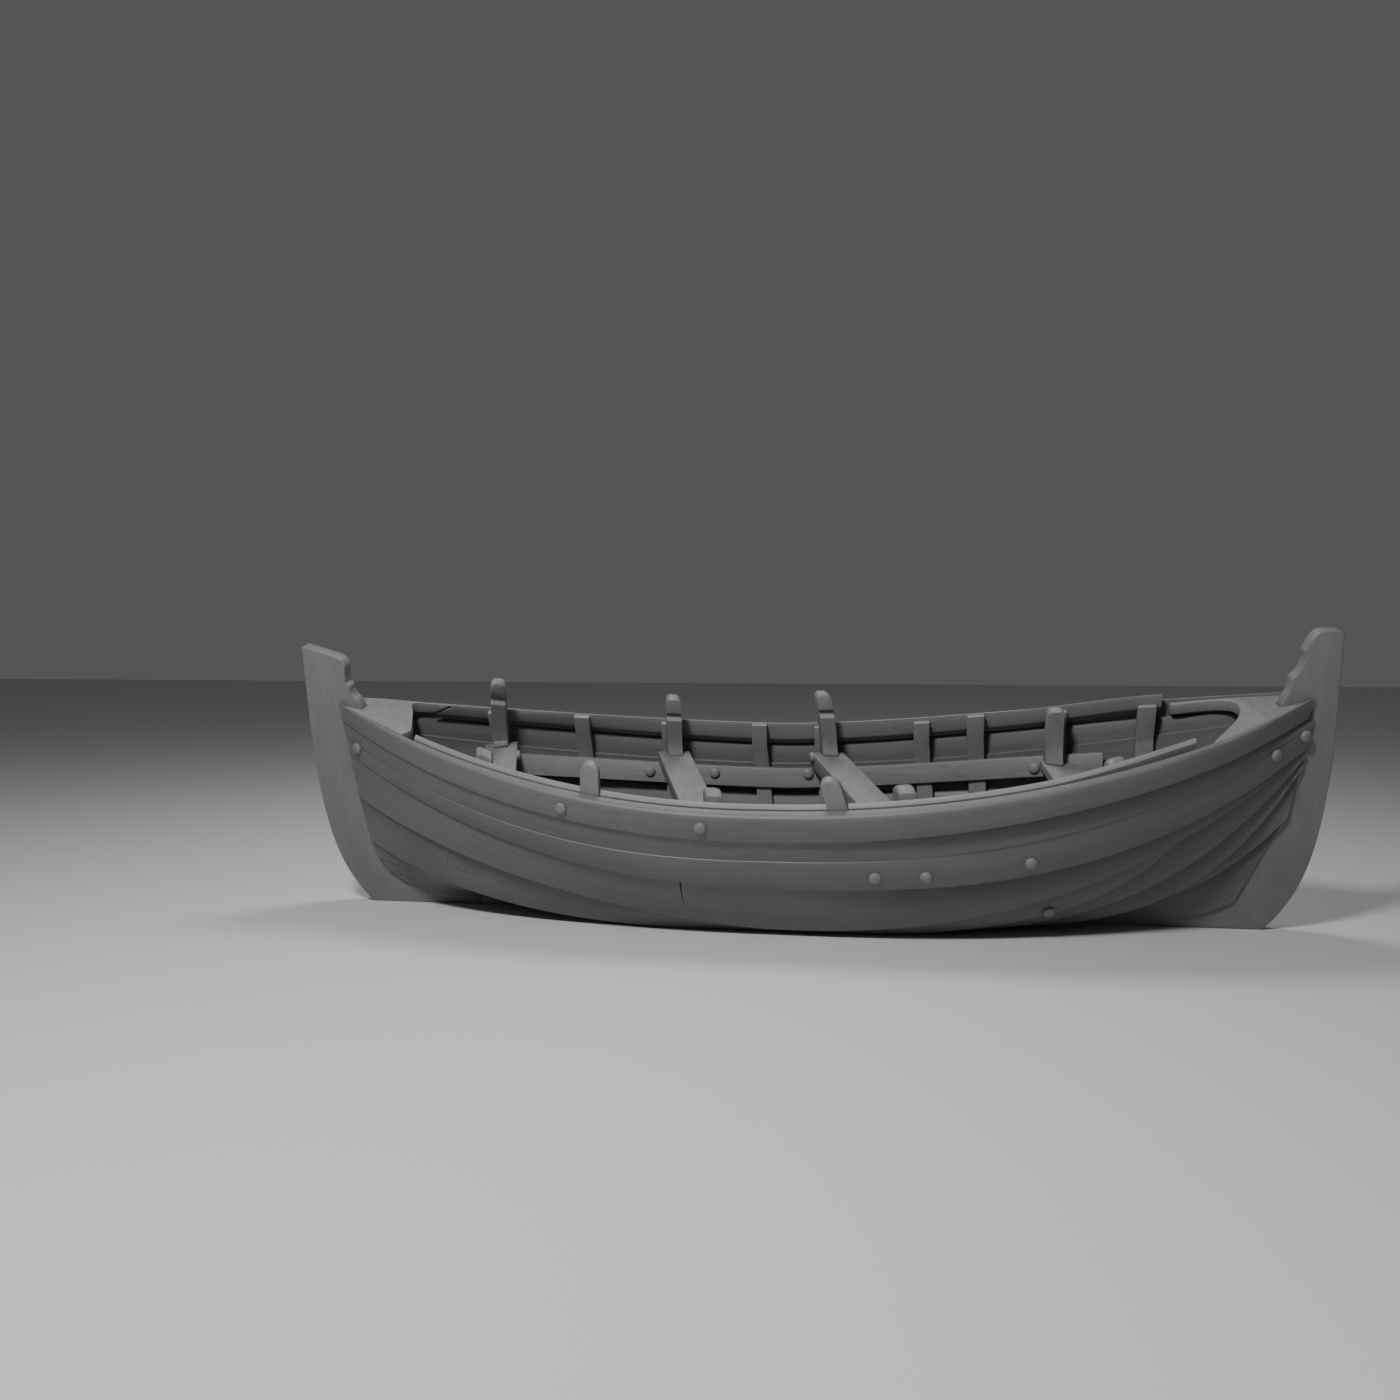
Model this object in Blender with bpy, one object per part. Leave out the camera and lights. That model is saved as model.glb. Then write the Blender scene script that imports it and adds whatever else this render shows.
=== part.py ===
"""Double-ended clinker rowboat, resting on its keel and its starboard bilge.

The hull is drawn upright in boat axes: +X to the bow, +Y to port, +Z up, with the
keel's underside at Z = 0. An empty then heels the whole boat over to starboard until
the bilge touches the floor, which is how such a boat stands ashore.
"""

import math
from collections import namedtuple

import bmesh
import bpy
from mathutils import Matrix, Vector

# Clearance between touching faces
GAP = 0.0006
RIB_CLEAR = 0.0016
INWALE_CLEAR = 0.0010

# Backbone
POST_HALF = 0.042
KEEL_TOP = 0.062
KEEL_END = 1.75
MIDSHIP = -0.10

# Planking
PLANK = 0.018
WALE = 0.030
WALE_TOP = 0.050
WALE_RISE = 0.015
LAP = 0.030
END_THINNING = 0.70
END_SLACK = 0.005
STATIONS_EACH_WAY = 12
STEALER = 4
STEALER_TIP = 0.76
STEALER_REACH = 1.70

# Fittings inside
INWALE_THICK = 0.056
INWALE_RISE = 0.014
INWALE_SLANT = 0.034
RIB_DEPTH = 0.036
RISER_THICK = 0.022
RISER_ENDS = (-1.80, 1.62, 22)
RISER_TOP_DROP = 0.225
RISER_DEEP = 0.105
THWART_WIDE = 0.185
THWART_CLEAR = 0.006
KNEE_WIDE = 0.085
HOOK_CLEAR = 0.00106
BREASTHOOK_DEEP = 0.055
BREASTHOOK_ARM = 0.045
THOLE_WIDE = 0.088
THOLE_THICK = 0.045
THOLE_SEAT = 0.003
THOLE_SHOULDER = 0.108
THOLE_CROWN = 0.044

Edge = namedtuple(
    "Edge", "mid_y mid_z bow_z stern_z bow_full stern_full bow_lift stern_lift"
)
# Outer lower corner of each strake, from the sheer down to the keel seam
EDGES = (
    Edge(0.718, 0.829, 1.242, 1.174, 2.80, 2.26, 1.80, 1.91),
    Edge(0.701, 0.697, 1.138, 1.071, 2.85, 2.40, 1.79, 1.86),
    Edge(0.676, 0.586, 1.097, 0.985, 2.70, 2.40, 2.14, 2.20),
    Edge(0.627, 0.430, 0.981, 0.882, 2.45, 2.24, 2.88, 1.95),
    Edge(0.519, 0.152, 0.960, 0.628, 2.70, 2.90, 2.25, 1.35),
    Edge(0.430, 0.097, 0.952, 0.372, 2.60, 2.60, 3.10, 2.90),
    Edge(0.331, 0.077, 0.940, 0.270, 2.75, 2.30, 3.95, 2.70),
    Edge(0.231, 0.067, 0.887, 0.190, 2.90, 2.20, 5.96, 2.80),
    Edge(0.135, 0.058, 0.622, 0.130, 2.16, 2.00, 5.70, 3.00),
    Edge(0.050, 0.045, 0.160, 0.090, 2.00, 2.00, 14.0, 14.0),
)

Frame = namedtuple("Frame", "name centre_x rack wide port_drop starboard_drop")
# Rack is how far a frame shifts forward for each metre to port, and a drop is how far
# its head stops below the wale's outer edge
FRAMES = (
    Frame("rib_1", -1.09, -0.27, 0.085, -0.026, 0.090),
    Frame("rib_2", -0.03, -0.31, 0.085, -0.028, 0.090),
    Frame("rib_3", 0.85, -0.27, 0.085, -0.012, 0.020),
    Frame("rib_4", 1.09, -0.20, 0.090, -0.028, 0.020),
    Frame("rib_5", 1.82, 0.00, 0.085, -0.010, 0.020),
    Frame("thwart_frame_1", -1.59, -0.24, 0.100, -0.014, -0.006),
    Frame("thwart_frame_2", -0.545, -0.31, 0.110, -0.014, -0.006),
    Frame("thwart_frame_3", 0.345, -0.32, 0.110, -0.014, -0.006),
    Frame("thwart_frame_4", 1.45, -0.12, 0.100, -0.014, -0.006),
)

Thwart = namedtuple(
    "Thwart", "name centre_x rack thick sunk port_rise starboard_rise starboard_shift"
)
# Sunk is how far the underside lies below the riser's top, where the thwart ends against
# the riser's face instead of on it. A rise is how far a knee stands above the sheer.
THWARTS = (
    Thwart("thwart_1", -1.59, -0.24, 0.040, 0.0, 0.250, 0.065, -0.055),
    Thwart("thwart_2", -0.545, -0.31, 0.067, 0.0, 0.210, 0.070, 0.020),
    Thwart("thwart_3", 0.345, -0.32, 0.090, 0.0, 0.247, 0.068, 0.045),
    Thwart("thwart_4", 1.45, -0.12, 0.050, 0.095, 0.070, 0.022, 0.060),
)

Thole = namedtuple("Thole", "name x rake")
THOLES = (
    Thole("thole_plate_aft", -0.945, 0.00),
    Thole("thole_plate_fore", 0.26, -0.05),
)

Breasthook = namedtuple("Breasthook", "name tip_x apex_x end_x reach_x")
BREASTHOOKS = (
    Breasthook("breasthook_bow", 1.95, 2.19, 2.356, 2.49),
    Breasthook("breasthook_stern", -1.97, -2.17, -2.315, -2.395),
)

Finish = namedtuple("Finish", "colour roughness")
FINISHES = {
    "planking": Finish((0.16, 0.16, 0.16, 1.0), 0.55),
    "backbone": Finish((0.20, 0.20, 0.20, 1.0), 0.60),
    "fittings": Finish((0.24, 0.24, 0.24, 1.0), 0.60),
}


def clear_scene():
    for obj in list(bpy.data.objects):
        bpy.data.objects.remove(obj, do_unlink=True)


def make_material(name):
    finish = FINISHES[name]
    material = bpy.data.materials.new(name)
    material.use_nodes = True
    shader = material.node_tree.nodes["Principled BSDF"]
    shader.inputs["Base Color"].default_value = finish.colour
    shader.inputs["Roughness"].default_value = finish.roughness
    shader.inputs["Metallic"].default_value = 0.0
    return material


def add_object(name, bm, material, hull):
    bmesh.ops.recalc_face_normals(bm, faces=bm.faces)
    mesh = bpy.data.meshes.new(name)
    bm.to_mesh(mesh)
    bm.free()
    mesh.materials.append(material)
    obj = bpy.data.objects.new(name, mesh)
    bpy.context.collection.objects.link(obj)
    obj.parent = hull
    return obj


def loft(name, rings, material, hull, inner_from=None):
    """Skin closed rings with triangles; inner_from flips the diagonal on the inner faces."""
    bm = bmesh.new()
    loops = [[bm.verts.new(point) for point in ring] for ring in rings]
    count = len(loops[0])
    turn_at = count if inner_from is None else inner_from
    for near, far in zip(loops, loops[1:]):
        for i in range(count):
            k = (i + 1) % count
            if i < turn_at:
                bm.faces.new((near[i], near[k], far[k]))
                bm.faces.new((near[i], far[k], far[i]))
            else:
                bm.faces.new((near[i], near[k], far[i]))
                bm.faces.new((near[k], far[k], far[i]))
    bm.faces.new(loops[0])
    bm.faces.new(loops[-1])
    return add_object(name, bm, material, hull)


def mirrored(rings, side):
    return [[Vector((p.x, p.y * side, p.z)) for p in ring] for ring in rings]


# Backbone lines

def rabbet_x(z, bow):
    """Where the planking ends on the post at height z."""
    if bow:
        return 2.34 + 0.16 * z - 0.44 * math.exp(-z / 0.14)
    return -(2.33 + 0.09 * z - 0.63 * math.exp(-z / 0.10))


def post_outer_x(z):
    return 2.635 - 0.255 * math.exp(-z / 0.27) - 0.03 * max(0.0, z - 0.9)


# Strake corners

def strake_thickness(index, s, bow):
    base = WALE if index == 0 else PLANK
    thick = base * (1.0 - END_THINNING * s ** 6)
    if index == STEALER and bow:
        thick *= 1.0 - 0.85 * min(1.0, s / STEALER_TIP) ** 4
    return thick


def end_half_breadth(index):
    """Outer face of an edge where the strakes lie against the post's side."""
    upper = max(index - 1, 0)
    half = POST_HALF + GAP + END_SLACK + strake_thickness(upper, 1.0, False)
    if index < len(EDGES) - 1:
        half += GAP + strake_thickness(max(index, 1), 1.0, False)
    return half


def edge_point(index, s, bow):
    edge = EDGES[index]
    end_z = edge.bow_z if bow else edge.stern_z
    full = edge.bow_full if bow else edge.stern_full
    lift = edge.bow_lift if bow else edge.stern_lift
    x = MIDSHIP + (rabbet_x(end_z, bow) - MIDSHIP) * s
    y = edge.mid_y * (1.0 - s ** full) + end_half_breadth(index) * s
    z = edge.mid_z + (end_z - edge.mid_z) * s ** lift
    return Vector((x, y, z))


def run_and_normal(start, end):
    """Direction down a plank, per metre of its section, and its outward normal."""
    step = end - start
    length = math.hypot(step.y, step.z)
    run = step / length
    return run, Vector((0.0, -run.z, run.y))


def station_sections(s, bow):
    """Section ring of every strake at one station, None where a strake is absent."""
    points = [edge_point(i, s, bow) for i in range(len(EDGES))]
    sections = []
    past_tip = bow and s > STEALER_TIP + 1e-6
    upper_run = upper_normal = None
    upper_thick = 0.0
    upper_width = 1.0
    seat = None
    for index in range(len(EDGES) - 1):
        if index == STEALER and past_tip:
            sections.append(None)
            continue
        thick = strake_thickness(index, s, bow)
        foot = points[index + 1].copy()
        if index == 0:
            bend = points[0]
            run, normal = run_and_normal(bend, foot)
            inner_foot = foot - normal * thick
            top_thick = thick + (WALE_TOP - WALE) * (1.0 - s ** 6)
            inner_top = bend - normal * top_thick
            crest = inner_top - run * WALE_RISE * (1.0 - s ** 4)
            ring = [bend, foot, inner_foot, inner_foot - run * LAP, inner_top, crest]
        else:
            bend = seat - upper_normal * (upper_thick + GAP)
            if index == STEALER and bow:
                pinch = min(1.0, s / STEALER_TIP) ** 9
                along, _ = run_and_normal(bend, points[index + 2])
                foot = foot.lerp(bend + along * 0.004, pinch)
            run, normal = run_and_normal(bend, foot)
            if index == len(EDGES) - 2:
                for _ in range(12):
                    foot.y = POST_HALF + 1.2 * GAP + thick * normal.y
                    run, normal = run_and_normal(bend, foot)
            lap = min(LAP, 0.8 * upper_width)
            head = bend - upper_run * lap
            miter = (upper_normal + normal) / (1.0 + upper_normal.dot(normal))
            width = math.hypot(foot.y - bend.y, foot.z - bend.z)
            inner_foot = foot - normal * thick
            ring = [
                head,
                bend,
                foot,
                inner_foot,
                inner_foot - run * min(LAP, 0.8 * width),
                bend - miter * thick,
                head - upper_normal * thick,
            ]
        sections.append(ring)
        upper_run, upper_normal, upper_thick = run, normal, thick
        upper_width = math.hypot(foot.y - bend.y, foot.z - bend.z)
        seat = foot
        if index + 1 == STEALER and past_tip:
            seat = points[STEALER]
    return sections


def station_list():
    """Stations from the stern post to the bow post."""
    half = []
    for i in range(STATIONS_EACH_WAY + 1):
        share = i / STATIONS_EACH_WAY
        half.append(0.6 * share + 0.4 * math.sin(share * math.pi / 2))
    nearest = min(range(len(half)), key=lambda i: abs(half[i] - STEALER_TIP))
    half[nearest] = STEALER_TIP
    aft = [(s, False) for s in reversed(half)]
    return aft + [(s, True) for s in half[1:]]


def hull_sections():
    return [station_sections(s, bow) for s, bow in station_list()]


def corner_line(sections, strake, corner):
    return [rings[strake][corner] for rings in sections if rings[strake]]


def at_x(line, x):
    """Point on a fore-and-aft line at a given x."""
    for a, b in zip(line, line[1:]):
        if a.x <= x <= b.x:
            return a.lerp(b, (x - a.x) / (b.x - a.x))
    return (line[0] if x < line[0].x else line[-1]).copy()


# Pieces

def build_strakes(sections, material, hull):
    names = ["wale"] + ["strake_%d" % n for n in range(2, 9)] + ["garboard"]
    names[STEALER] = "strake_5_stealer"
    for index, name in enumerate(names):
        rings = [station[index] for station in sections if station[index]]
        inner_from = 2 if index == 0 else 3
        for side, suffix in ((1, "port"), (-1, "starboard")):
            loft(
                "%s_%s" % (name, suffix),
                mirrored(rings, side),
                material,
                hull,
                inner_from,
            )


def extrude_outline(name, outline, half, material, hull):
    bm = bmesh.new()
    verts = [bm.verts.new((x, -half, z)) for x, z in outline]
    face = bm.faces.new(verts)
    grown = bmesh.ops.extrude_face_region(bm, geom=[face])
    moved = [g for g in grown["geom"] if isinstance(g, bmesh.types.BMVert)]
    bmesh.ops.translate(bm, verts=moved, vec=(0.0, 2 * half, 0.0))
    return add_object(name, bm, material, hull)


def build_backbone(material, hull):
    joint = KEEL_END
    keel = [(-joint, 0.0), (joint, 0.0), (joint, KEEL_TOP), (-joint, KEEL_TOP)]
    extrude_outline("keel", keel, POST_HALF, material, hull)

    bow_head = (
        (2.580, 1.566), (2.500, 1.567), (2.468, 1.520), (2.445, 1.467),
        (2.451, 1.424), (2.436, 1.375), (2.417, 1.348), (2.399, 1.330),
        (2.397, 1.278), (2.366, 1.207),
    )
    stern_head = (
        (2.590, 1.500), (2.573, 1.507), (2.405, 1.415), (2.385, 1.376),
        (2.393, 1.321), (2.393, 1.278), (2.376, 1.260), (2.375, 1.232),
        (2.364, 1.203), (2.338, 1.180),
    )
    for name, bow, head, top_z, inset in (
        ("bow_post", True, bow_head, 1.53, 0.16),
        ("stern_post", False, stern_head, 1.47, 0.11),
    ):
        sign = 1 if bow else -1
        outline = [(joint + GAP, 0.0)]
        for i in range(17):
            z = top_z * (i / 16) ** 1.5
            outline.append((post_outer_x(z), z))
        outline += head
        for i in range(10):
            z = 1.13 - (1.13 - 0.085) * (i / 9) ** 0.8
            outline.append((abs(rabbet_x(z, bow)) - inset, z))
        outline.append((joint + GAP, KEEL_TOP))
        extrude_outline(name, [(sign * x, z) for x, z in outline], POST_HALF, material, hull)


class Inside:
    """Inner surface that the frames lie against, as points at a given x."""

    def __init__(self, sections):
        last = len(EDGES) - 2
        self.wale_top = corner_line(sections, 0, 4)
        self.wale_crest = corner_line(sections, 0, 5)
        self.wale_foot = corner_line(sections, 0, 3)
        self.corners = []
        self.stealer_corners = []
        for index in range(1, last + 1):
            lines = [corner_line(sections, index, 6), corner_line(sections, index, 5)]
            self.corners += lines
            if index == STEALER:
                self.stealer_corners = lines
        self.seam = corner_line(sections, last, 3)

    def wale_inner(self, x, drop):
        """Point on the wale's inner face, drop below the sheer."""
        top = at_x(self.wale_top, x)
        foot = at_x(self.wale_foot, x)
        share = drop / (top.z - foot.z)
        return top.lerp(foot, share)

    def frame_line(self, x_of_y, top_drop):
        """Outer face of a frame from its head down to the keel, as (y, z) with its x."""
        line = []
        x = x_of_y(0.6)
        for _ in range(6):
            x = x_of_y(self.wale_inner(x, top_drop).y)
        reach = at_x(self.wale_top, x).z - at_x(self.wale_foot, x).z
        for drop in (min(top_drop, reach - 0.004), reach + 0.006):
            point = self.wale_inner(x, drop)
            y = point.y - INWALE_THICK - INWALE_CLEAR
            line.append(Vector((x, y, point.z)))
        past_stealer = x_of_y(0.0) > STEALER_REACH
        for corner in self.corners[2:]:
            if past_stealer and corner in self.stealer_corners:
                continue
            x = x_of_y(0.4)
            for _ in range(6):
                x = x_of_y(at_x(corner, x).y)
            point = at_x(corner, x)
            clear = RIB_CLEAR + 0.005 * max(0.0, abs(x) - 1.2)
            line.append(Vector((x, point.y - clear, point.z + clear)))
        x = x_of_y(POST_HALF)
        seam = at_x(self.seam, x)
        top = KEEL_TOP + 0.12 * max(0.0, abs(x) - KEEL_END)
        clear = RIB_CLEAR + 0.012 * max(0.0, abs(x) - 1.2)
        line.append(Vector((x, POST_HALF, max(seam.z, top) + clear)))
        return line


def offset_inward(line, depth):
    """Shift a (y, z) line inboard by depth, keeping each point's x."""
    normals = []
    for a, b in zip(line, line[1:]):
        _, normal = run_and_normal(Vector((0, a.y, a.z)), Vector((0, b.y, b.z)))
        normals.append(normal)
    out = []
    for i, point in enumerate(line):
        before = normals[max(i - 1, 0)]
        after = normals[min(i, len(normals) - 1)]
        miter = (before + after) / (1.0 + before.dot(after))
        out.append(point - miter * depth)
    return out


def y_at_height(line, z):
    for a, b in zip(line, line[1:]):
        if b.z <= z <= a.z:
            return a.y + (b.y - a.y) * (z - a.z) / (b.z - a.z)
    return line[0].y


def racked(centre_x, rack, side):
    return lambda y: centre_x + rack * y * side


def build_frames(inside, material, hull):
    for frame in FRAMES:
        rings = []
        for side in (1, -1):
            faces = []
            for shift in (-frame.wide / 2, frame.wide / 2):
                place = racked(frame.centre_x + shift, frame.rack, side)
                drop = frame.port_drop if side == 1 else frame.starboard_drop
                outer = inside.frame_line(place, drop)
                inner = offset_inward(outer, RIB_DEPTH)
                faces.append((outer, inner))
            half = []
            for i in range(len(faces[0][0])):
                corners = (faces[0][0][i], faces[1][0][i], faces[1][1][i], faces[0][1][i])
                half.append([Vector((p.x, p.y * side, p.z)) for p in corners])
            rings += half if side == 1 else half[::-1]
        loft(frame.name, rings, material, hull)


def riser_faces(inside, x):
    """Riser's outer face at x: its top and bottom points."""
    outer = inside.frame_line(lambda y: x, 0.006)
    clear = 3.2 * GAP + 0.010 * max(0.0, abs(x) - 1.0)
    back = offset_inward(outer, RIB_DEPTH + clear)
    top_z = outer[0].z - RISER_TOP_DROP
    foot_z = top_z - RISER_DEEP
    return Vector((x, y_at_height(back, top_z), top_z)), Vector((x, y_at_height(back, foot_z), foot_z))


def riser_lines(inside):
    """The riser's outer face as pairs of top and bottom points along the boat."""
    start, end, count = RISER_ENDS
    return [riser_faces(inside, start + (end - start) * i / count) for i in range(count + 1)]


def cut_to_length(top_line, foot_line, start, end):
    """Pairs of points on two lines between two ends, keeping the lines' own stations."""
    pairs = [(at_x(top_line, start), at_x(foot_line, start))]
    pairs += [(a, b) for a, b in zip(top_line, foot_line) if start + 0.03 < a.x < end - 0.03]
    pairs.append((at_x(top_line, end), at_x(foot_line, end)))
    return pairs


def build_stringers(inside, material, hull):
    for side, suffix in ((1, "port"), (-1, "starboard")):
        rings = []
        start, end = (-1.94, 1.89) if side == 1 else (-1.94, 1.90)
        inward = Vector((0.0, -INWALE_THICK, 0.0))
        clear = Vector((0.0, -GAP, GAP))
        for top, foot in cut_to_length(inside.wale_top, inside.wale_foot, start, end):
            crest = at_x(inside.wale_crest, top.x) + clear
            inner_foot = foot + inward + Vector((0.0, 0.0, INWALE_SLANT))
            inner_crest = crest + inward + Vector((0.0, 0.0, INWALE_RISE))
            rings.append(
                [crest, top + clear, foot + clear, inner_foot, top + clear + inward, inner_crest]
            )
        loft("inwale_" + suffix, mirrored(rings, side), material, hull, 3)

        inward = Vector((0.0, -RISER_THICK, 0.0))
        rings = [[top, foot, foot + inward, top + inward] for top, foot in riser_lines(inside)]
        loft("riser_" + suffix, mirrored(rings, side), material, hull)


def riser_height(inside, thwart, side):
    """Highest point of the riser under a thwart's end, and how far out it lies."""
    tops = [top for top, foot in riser_lines(inside)]
    heights = []
    for shift in (-THWART_WIDE / 2, THWART_WIDE / 2):
        place = racked(thwart.centre_x + shift, thwart.rack, side)
        x = place(0.55)
        for _ in range(6):
            x = place(at_x(tops, x).y)
        y = at_x(tops, x).y
        inner_x = place(y - RISER_THICK)
        heights += [at_x(tops, x).z, at_x(tops, inner_x).z]
    return max(heights), y


def thwart_height(inside, thwart, side):
    """Underside of a thwart's end, clear of the riser's inner edge if the thwart falls away."""
    here, here_y = riser_height(inside, thwart, side)
    if thwart.sunk:
        return here - thwart.sunk
    there, there_y = riser_height(inside, thwart, -side)
    fall = max(0.0, here - there) / (here_y + there_y)
    return here + fall * (RISER_THICK + 0.010) + 1.4 * GAP


def frame_face(inside, x_of_y, depth, z, thick):
    """Point on the inboard face of the frame line at height z."""
    line = offset_inward(inside.frame_line(x_of_y, 0.006), depth)
    y = min(y_at_height(line, z), y_at_height(line, z + thick))
    return Vector((x_of_y(y + depth), y, z))


def riser_face(inside, x_of_y, z, thick):
    """Point beside the riser's inboard face at height z."""
    lines = riser_lines(inside)
    x = x_of_y(0.5)
    y = 0.5
    for _ in range(6):
        top = at_x([pair[0] for pair in lines], x)
        foot = at_x([pair[1] for pair in lines], x)
        lean = (foot.y - top.y) / (top.z - foot.z)
        depths = (top.z - z, top.z - z - thick)
        y = top.y + min(lean * depth for depth in depths) - RISER_THICK - GAP
        x = x_of_y(y)
    return Vector((x, y, z))


def thwart_end(inside, thwart, side, shift):
    """Lower corner of a thwart's end, shift away from its middle line."""
    under = thwart_height(inside, thwart, side)
    place = racked(thwart.centre_x + shift, thwart.rack, side)
    if thwart.sunk:
        return riser_face(inside, place, under, thwart.thick)
    return frame_face(inside, place, RIB_DEPTH + THWART_CLEAR, under, thwart.thick)


def build_thwarts(inside, material, hull):
    for thwart in THWARTS:
        rings = []
        for side in (1, -1):
            aft = thwart_end(inside, thwart, side, -THWART_WIDE / 2)
            fore = thwart_end(inside, thwart, side, THWART_WIDE / 2)
            ring = []
            for point, rise in ((aft, 0), (fore, 0), (fore, thwart.thick), (aft, thwart.thick)):
                ring.append(Vector((point.x, point.y * side, point.z + rise)))
            rings.append(ring)
        loft(thwart.name, rings, material, hull)


def thwart_top(inside, thwart):
    """Top of a thwart as a height at each y, since its two ends differ a little."""
    port = thwart_end(inside, thwart, 1, 0.0)
    starboard = thwart_end(inside, thwart, -1, 0.0)
    slope = (port.z - starboard.z) / (port.y + starboard.y)
    return lambda y: starboard.z + thwart.thick + slope * (y + starboard.y)


def build_knees(inside, material, hull):
    for number, thwart in enumerate(THWARTS, start=1):
        top = thwart_top(inside, thwart)
        for side, suffix in ((1, "port"), (-1, "starboard")):
            name = "knee_%d_%s" % (number, suffix)
            build_knee(name, inside, thwart, side, top, material, hull)


def build_knee(name, inside, thwart, side, thwart_z, material, hull):
    """A standing knee: foot on the thwart, arm up the frame, head above the sheer."""
    rise = thwart.port_rise if side == 1 else thwart.starboard_rise
    middle = thwart.centre_x + (0.0 if side == 1 else thwart.starboard_shift)
    inset = RIB_DEPTH + 3 * RIB_CLEAR
    if thwart.sunk:
        inset += RISER_THICK + 0.004
    rings = []
    for shift in (-KNEE_WIDE / 2, KNEE_WIDE / 2):
        place = racked(middle + shift, thwart.rack, side)
        line = offset_inward(inside.frame_line(place, 0.006), inset)
        head = line[0]
        sheer = head.z
        slope = (line[0].y - line[1].y) / (line[0].z - line[1].z)
        low_z = thwart_z(side * y_at_height(line, sheer - 0.14)) + 2 * GAP
        steps = 8
        levels = [low_z + (sheer - low_z) * i / steps for i in range(steps + 1)]
        faces = [y_at_height(line, z) for z in levels]
        chord = [faces[0] + (faces[steps] - faces[0]) * i / steps for i in range(steps + 1)]
        lean = min(0.0, min(y - c for y, c in zip(faces, chord)))
        top = sheer + rise
        heel_y, mid_y, neck_y = (chord[i] + lean for i in (0, 4, 7))
        head_y = head.y + lean + slope * rise
        mid_z, neck_z = levels[4], levels[7]
        toe_y = heel_y - 0.080
        heel_z = thwart_z(side * heel_y) + 1.6 * GAP
        toe_z = thwart_z(side * toe_y) + 1.6 * GAP
        back = [(heel_y, heel_z), (mid_y, mid_z), (neck_y, neck_z), (head_y, top)]
        arm = 0.056
        if side == -1:
            back[-1] = (head_y, top - 0.022)
            front = [
                (head_y - 0.034, top),
                (head_y - 0.068, top - 0.004),
                (head_y - 0.092, top - 0.024),
                (neck_y - 0.096, neck_z),
            ]
            arm = 0.080
        elif rise > 0.1:
            waist = head_y - slope * 0.12
            front = [
                (head_y - 0.028, top),
                (head_y - 0.046, top - 0.022),
                (waist - 0.056, top - 0.100),
                (waist - 0.040, top - 0.114),
                (waist - 0.040, top - 0.130),
                (waist - 0.058, top - 0.146),
                (neck_y - 0.054, neck_z),
            ]
        else:
            front = [
                (head_y - 0.034, top),
                (head_y - 0.050, top - 0.018),
                (neck_y - 0.052, neck_z),
            ]
        front += [
            (mid_y - arm, mid_z),
            (heel_y - 0.066, toe_z + 0.034),
            (toe_y, toe_z + 0.010),
            (toe_y, toe_z),
        ]
        rings.append([Vector((place(y + RIB_DEPTH), y * side, z)) for y, z in back + front])
    loft(name, rings, material, hull)


def build_breasthooks(inside, material, hull):
    for hook in BREASTHOOKS:
        build_breasthook(hook, inside, material, hull)


def build_breasthook(hook, inside, material, hull):
    """A flat crook between the wales, notched round the post, with an arched throat."""
    tip = inside.wale_inner(hook.tip_x, 0.004)
    end = inside.wale_inner(hook.end_x, 0.004)

    def top_z(x):
        return tip.z + (end.z - tip.z) * (x - tip.x) / (end.x - tip.x) - 0.006

    def skin_y(x, z):
        top = at_x(inside.wale_top, x)
        foot = at_x(inside.wale_foot, x)
        return top.y + (foot.y - top.y) * (top.z - z) / (top.z - foot.z) - HOOK_CLEAR

    side_stations = [hook.tip_x + (hook.reach_x - hook.tip_x) * i / 10 for i in range(11)]
    beside = POST_HALF + HOOK_CLEAR
    notch = (
        (hook.reach_x, beside),
        (hook.end_x, beside),
        (hook.end_x, -beside),
        (hook.reach_x, -beside),
    )
    half = skin_y(hook.tip_x, top_z(hook.tip_x) - BREASTHOOK_DEEP) - BREASTHOOK_ARM
    throat = []
    for i in range(13):
        angle = math.pi * i / 12
        throat.append((
            hook.tip_x + (hook.apex_x - hook.tip_x) * math.sin(angle),
            -half * math.cos(angle),
        ))
    rings = []
    for level in (0.0, BREASTHOOK_DEEP):
        outline = [(x, skin_y(x, top_z(x) - level)) for x in side_stations]
        outline += notch
        outline += [(x, -skin_y(x, top_z(x) - level)) for x in side_stations[::-1]]
        outline += throat
        rings.append([Vector((x, y, top_z(x) - level)) for x, y in outline])
    loft(hook.name, rings, material, hull, len(side_stations) + len(notch))


def thole_outline():
    """A plate with a round crown, as (along, up) from its foot."""
    half = THOLE_WIDE / 2
    outline = [(-half, 0.0), (half, 0.0)]
    for i in range(9):
        angle = math.pi * i / 8
        outline.append((math.cos(angle) * half, THOLE_SHOULDER + math.sin(angle) * THOLE_CROWN))
    return outline


def build_tholes(inside, material, hull):
    """Plates that stand on top of the starboard inwale, against its outer edge."""
    for thole in THOLES:
        rings = []
        for depth in (THOLE_SEAT, THOLE_SEAT + THOLE_THICK):
            ring = []
            for dx, dz in thole_outline():
                x = thole.x + dx + thole.rake * dz / 0.16
                crest = at_x(inside.wale_crest, x)
                base = inside.wale_inner(x, 0.0)
                foot = inside.wale_inner(x, 0.08)
                slope = (base.y - foot.y) / (base.z - foot.z)
                y = crest.y + slope * dz - depth
                seat = crest.z + INWALE_RISE * depth / INWALE_THICK + 2 * GAP
                ring.append(Vector((x, -y, seat + dz)))
            rings.append(ring)
        loft(thole.name, rings, material, hull)


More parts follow.
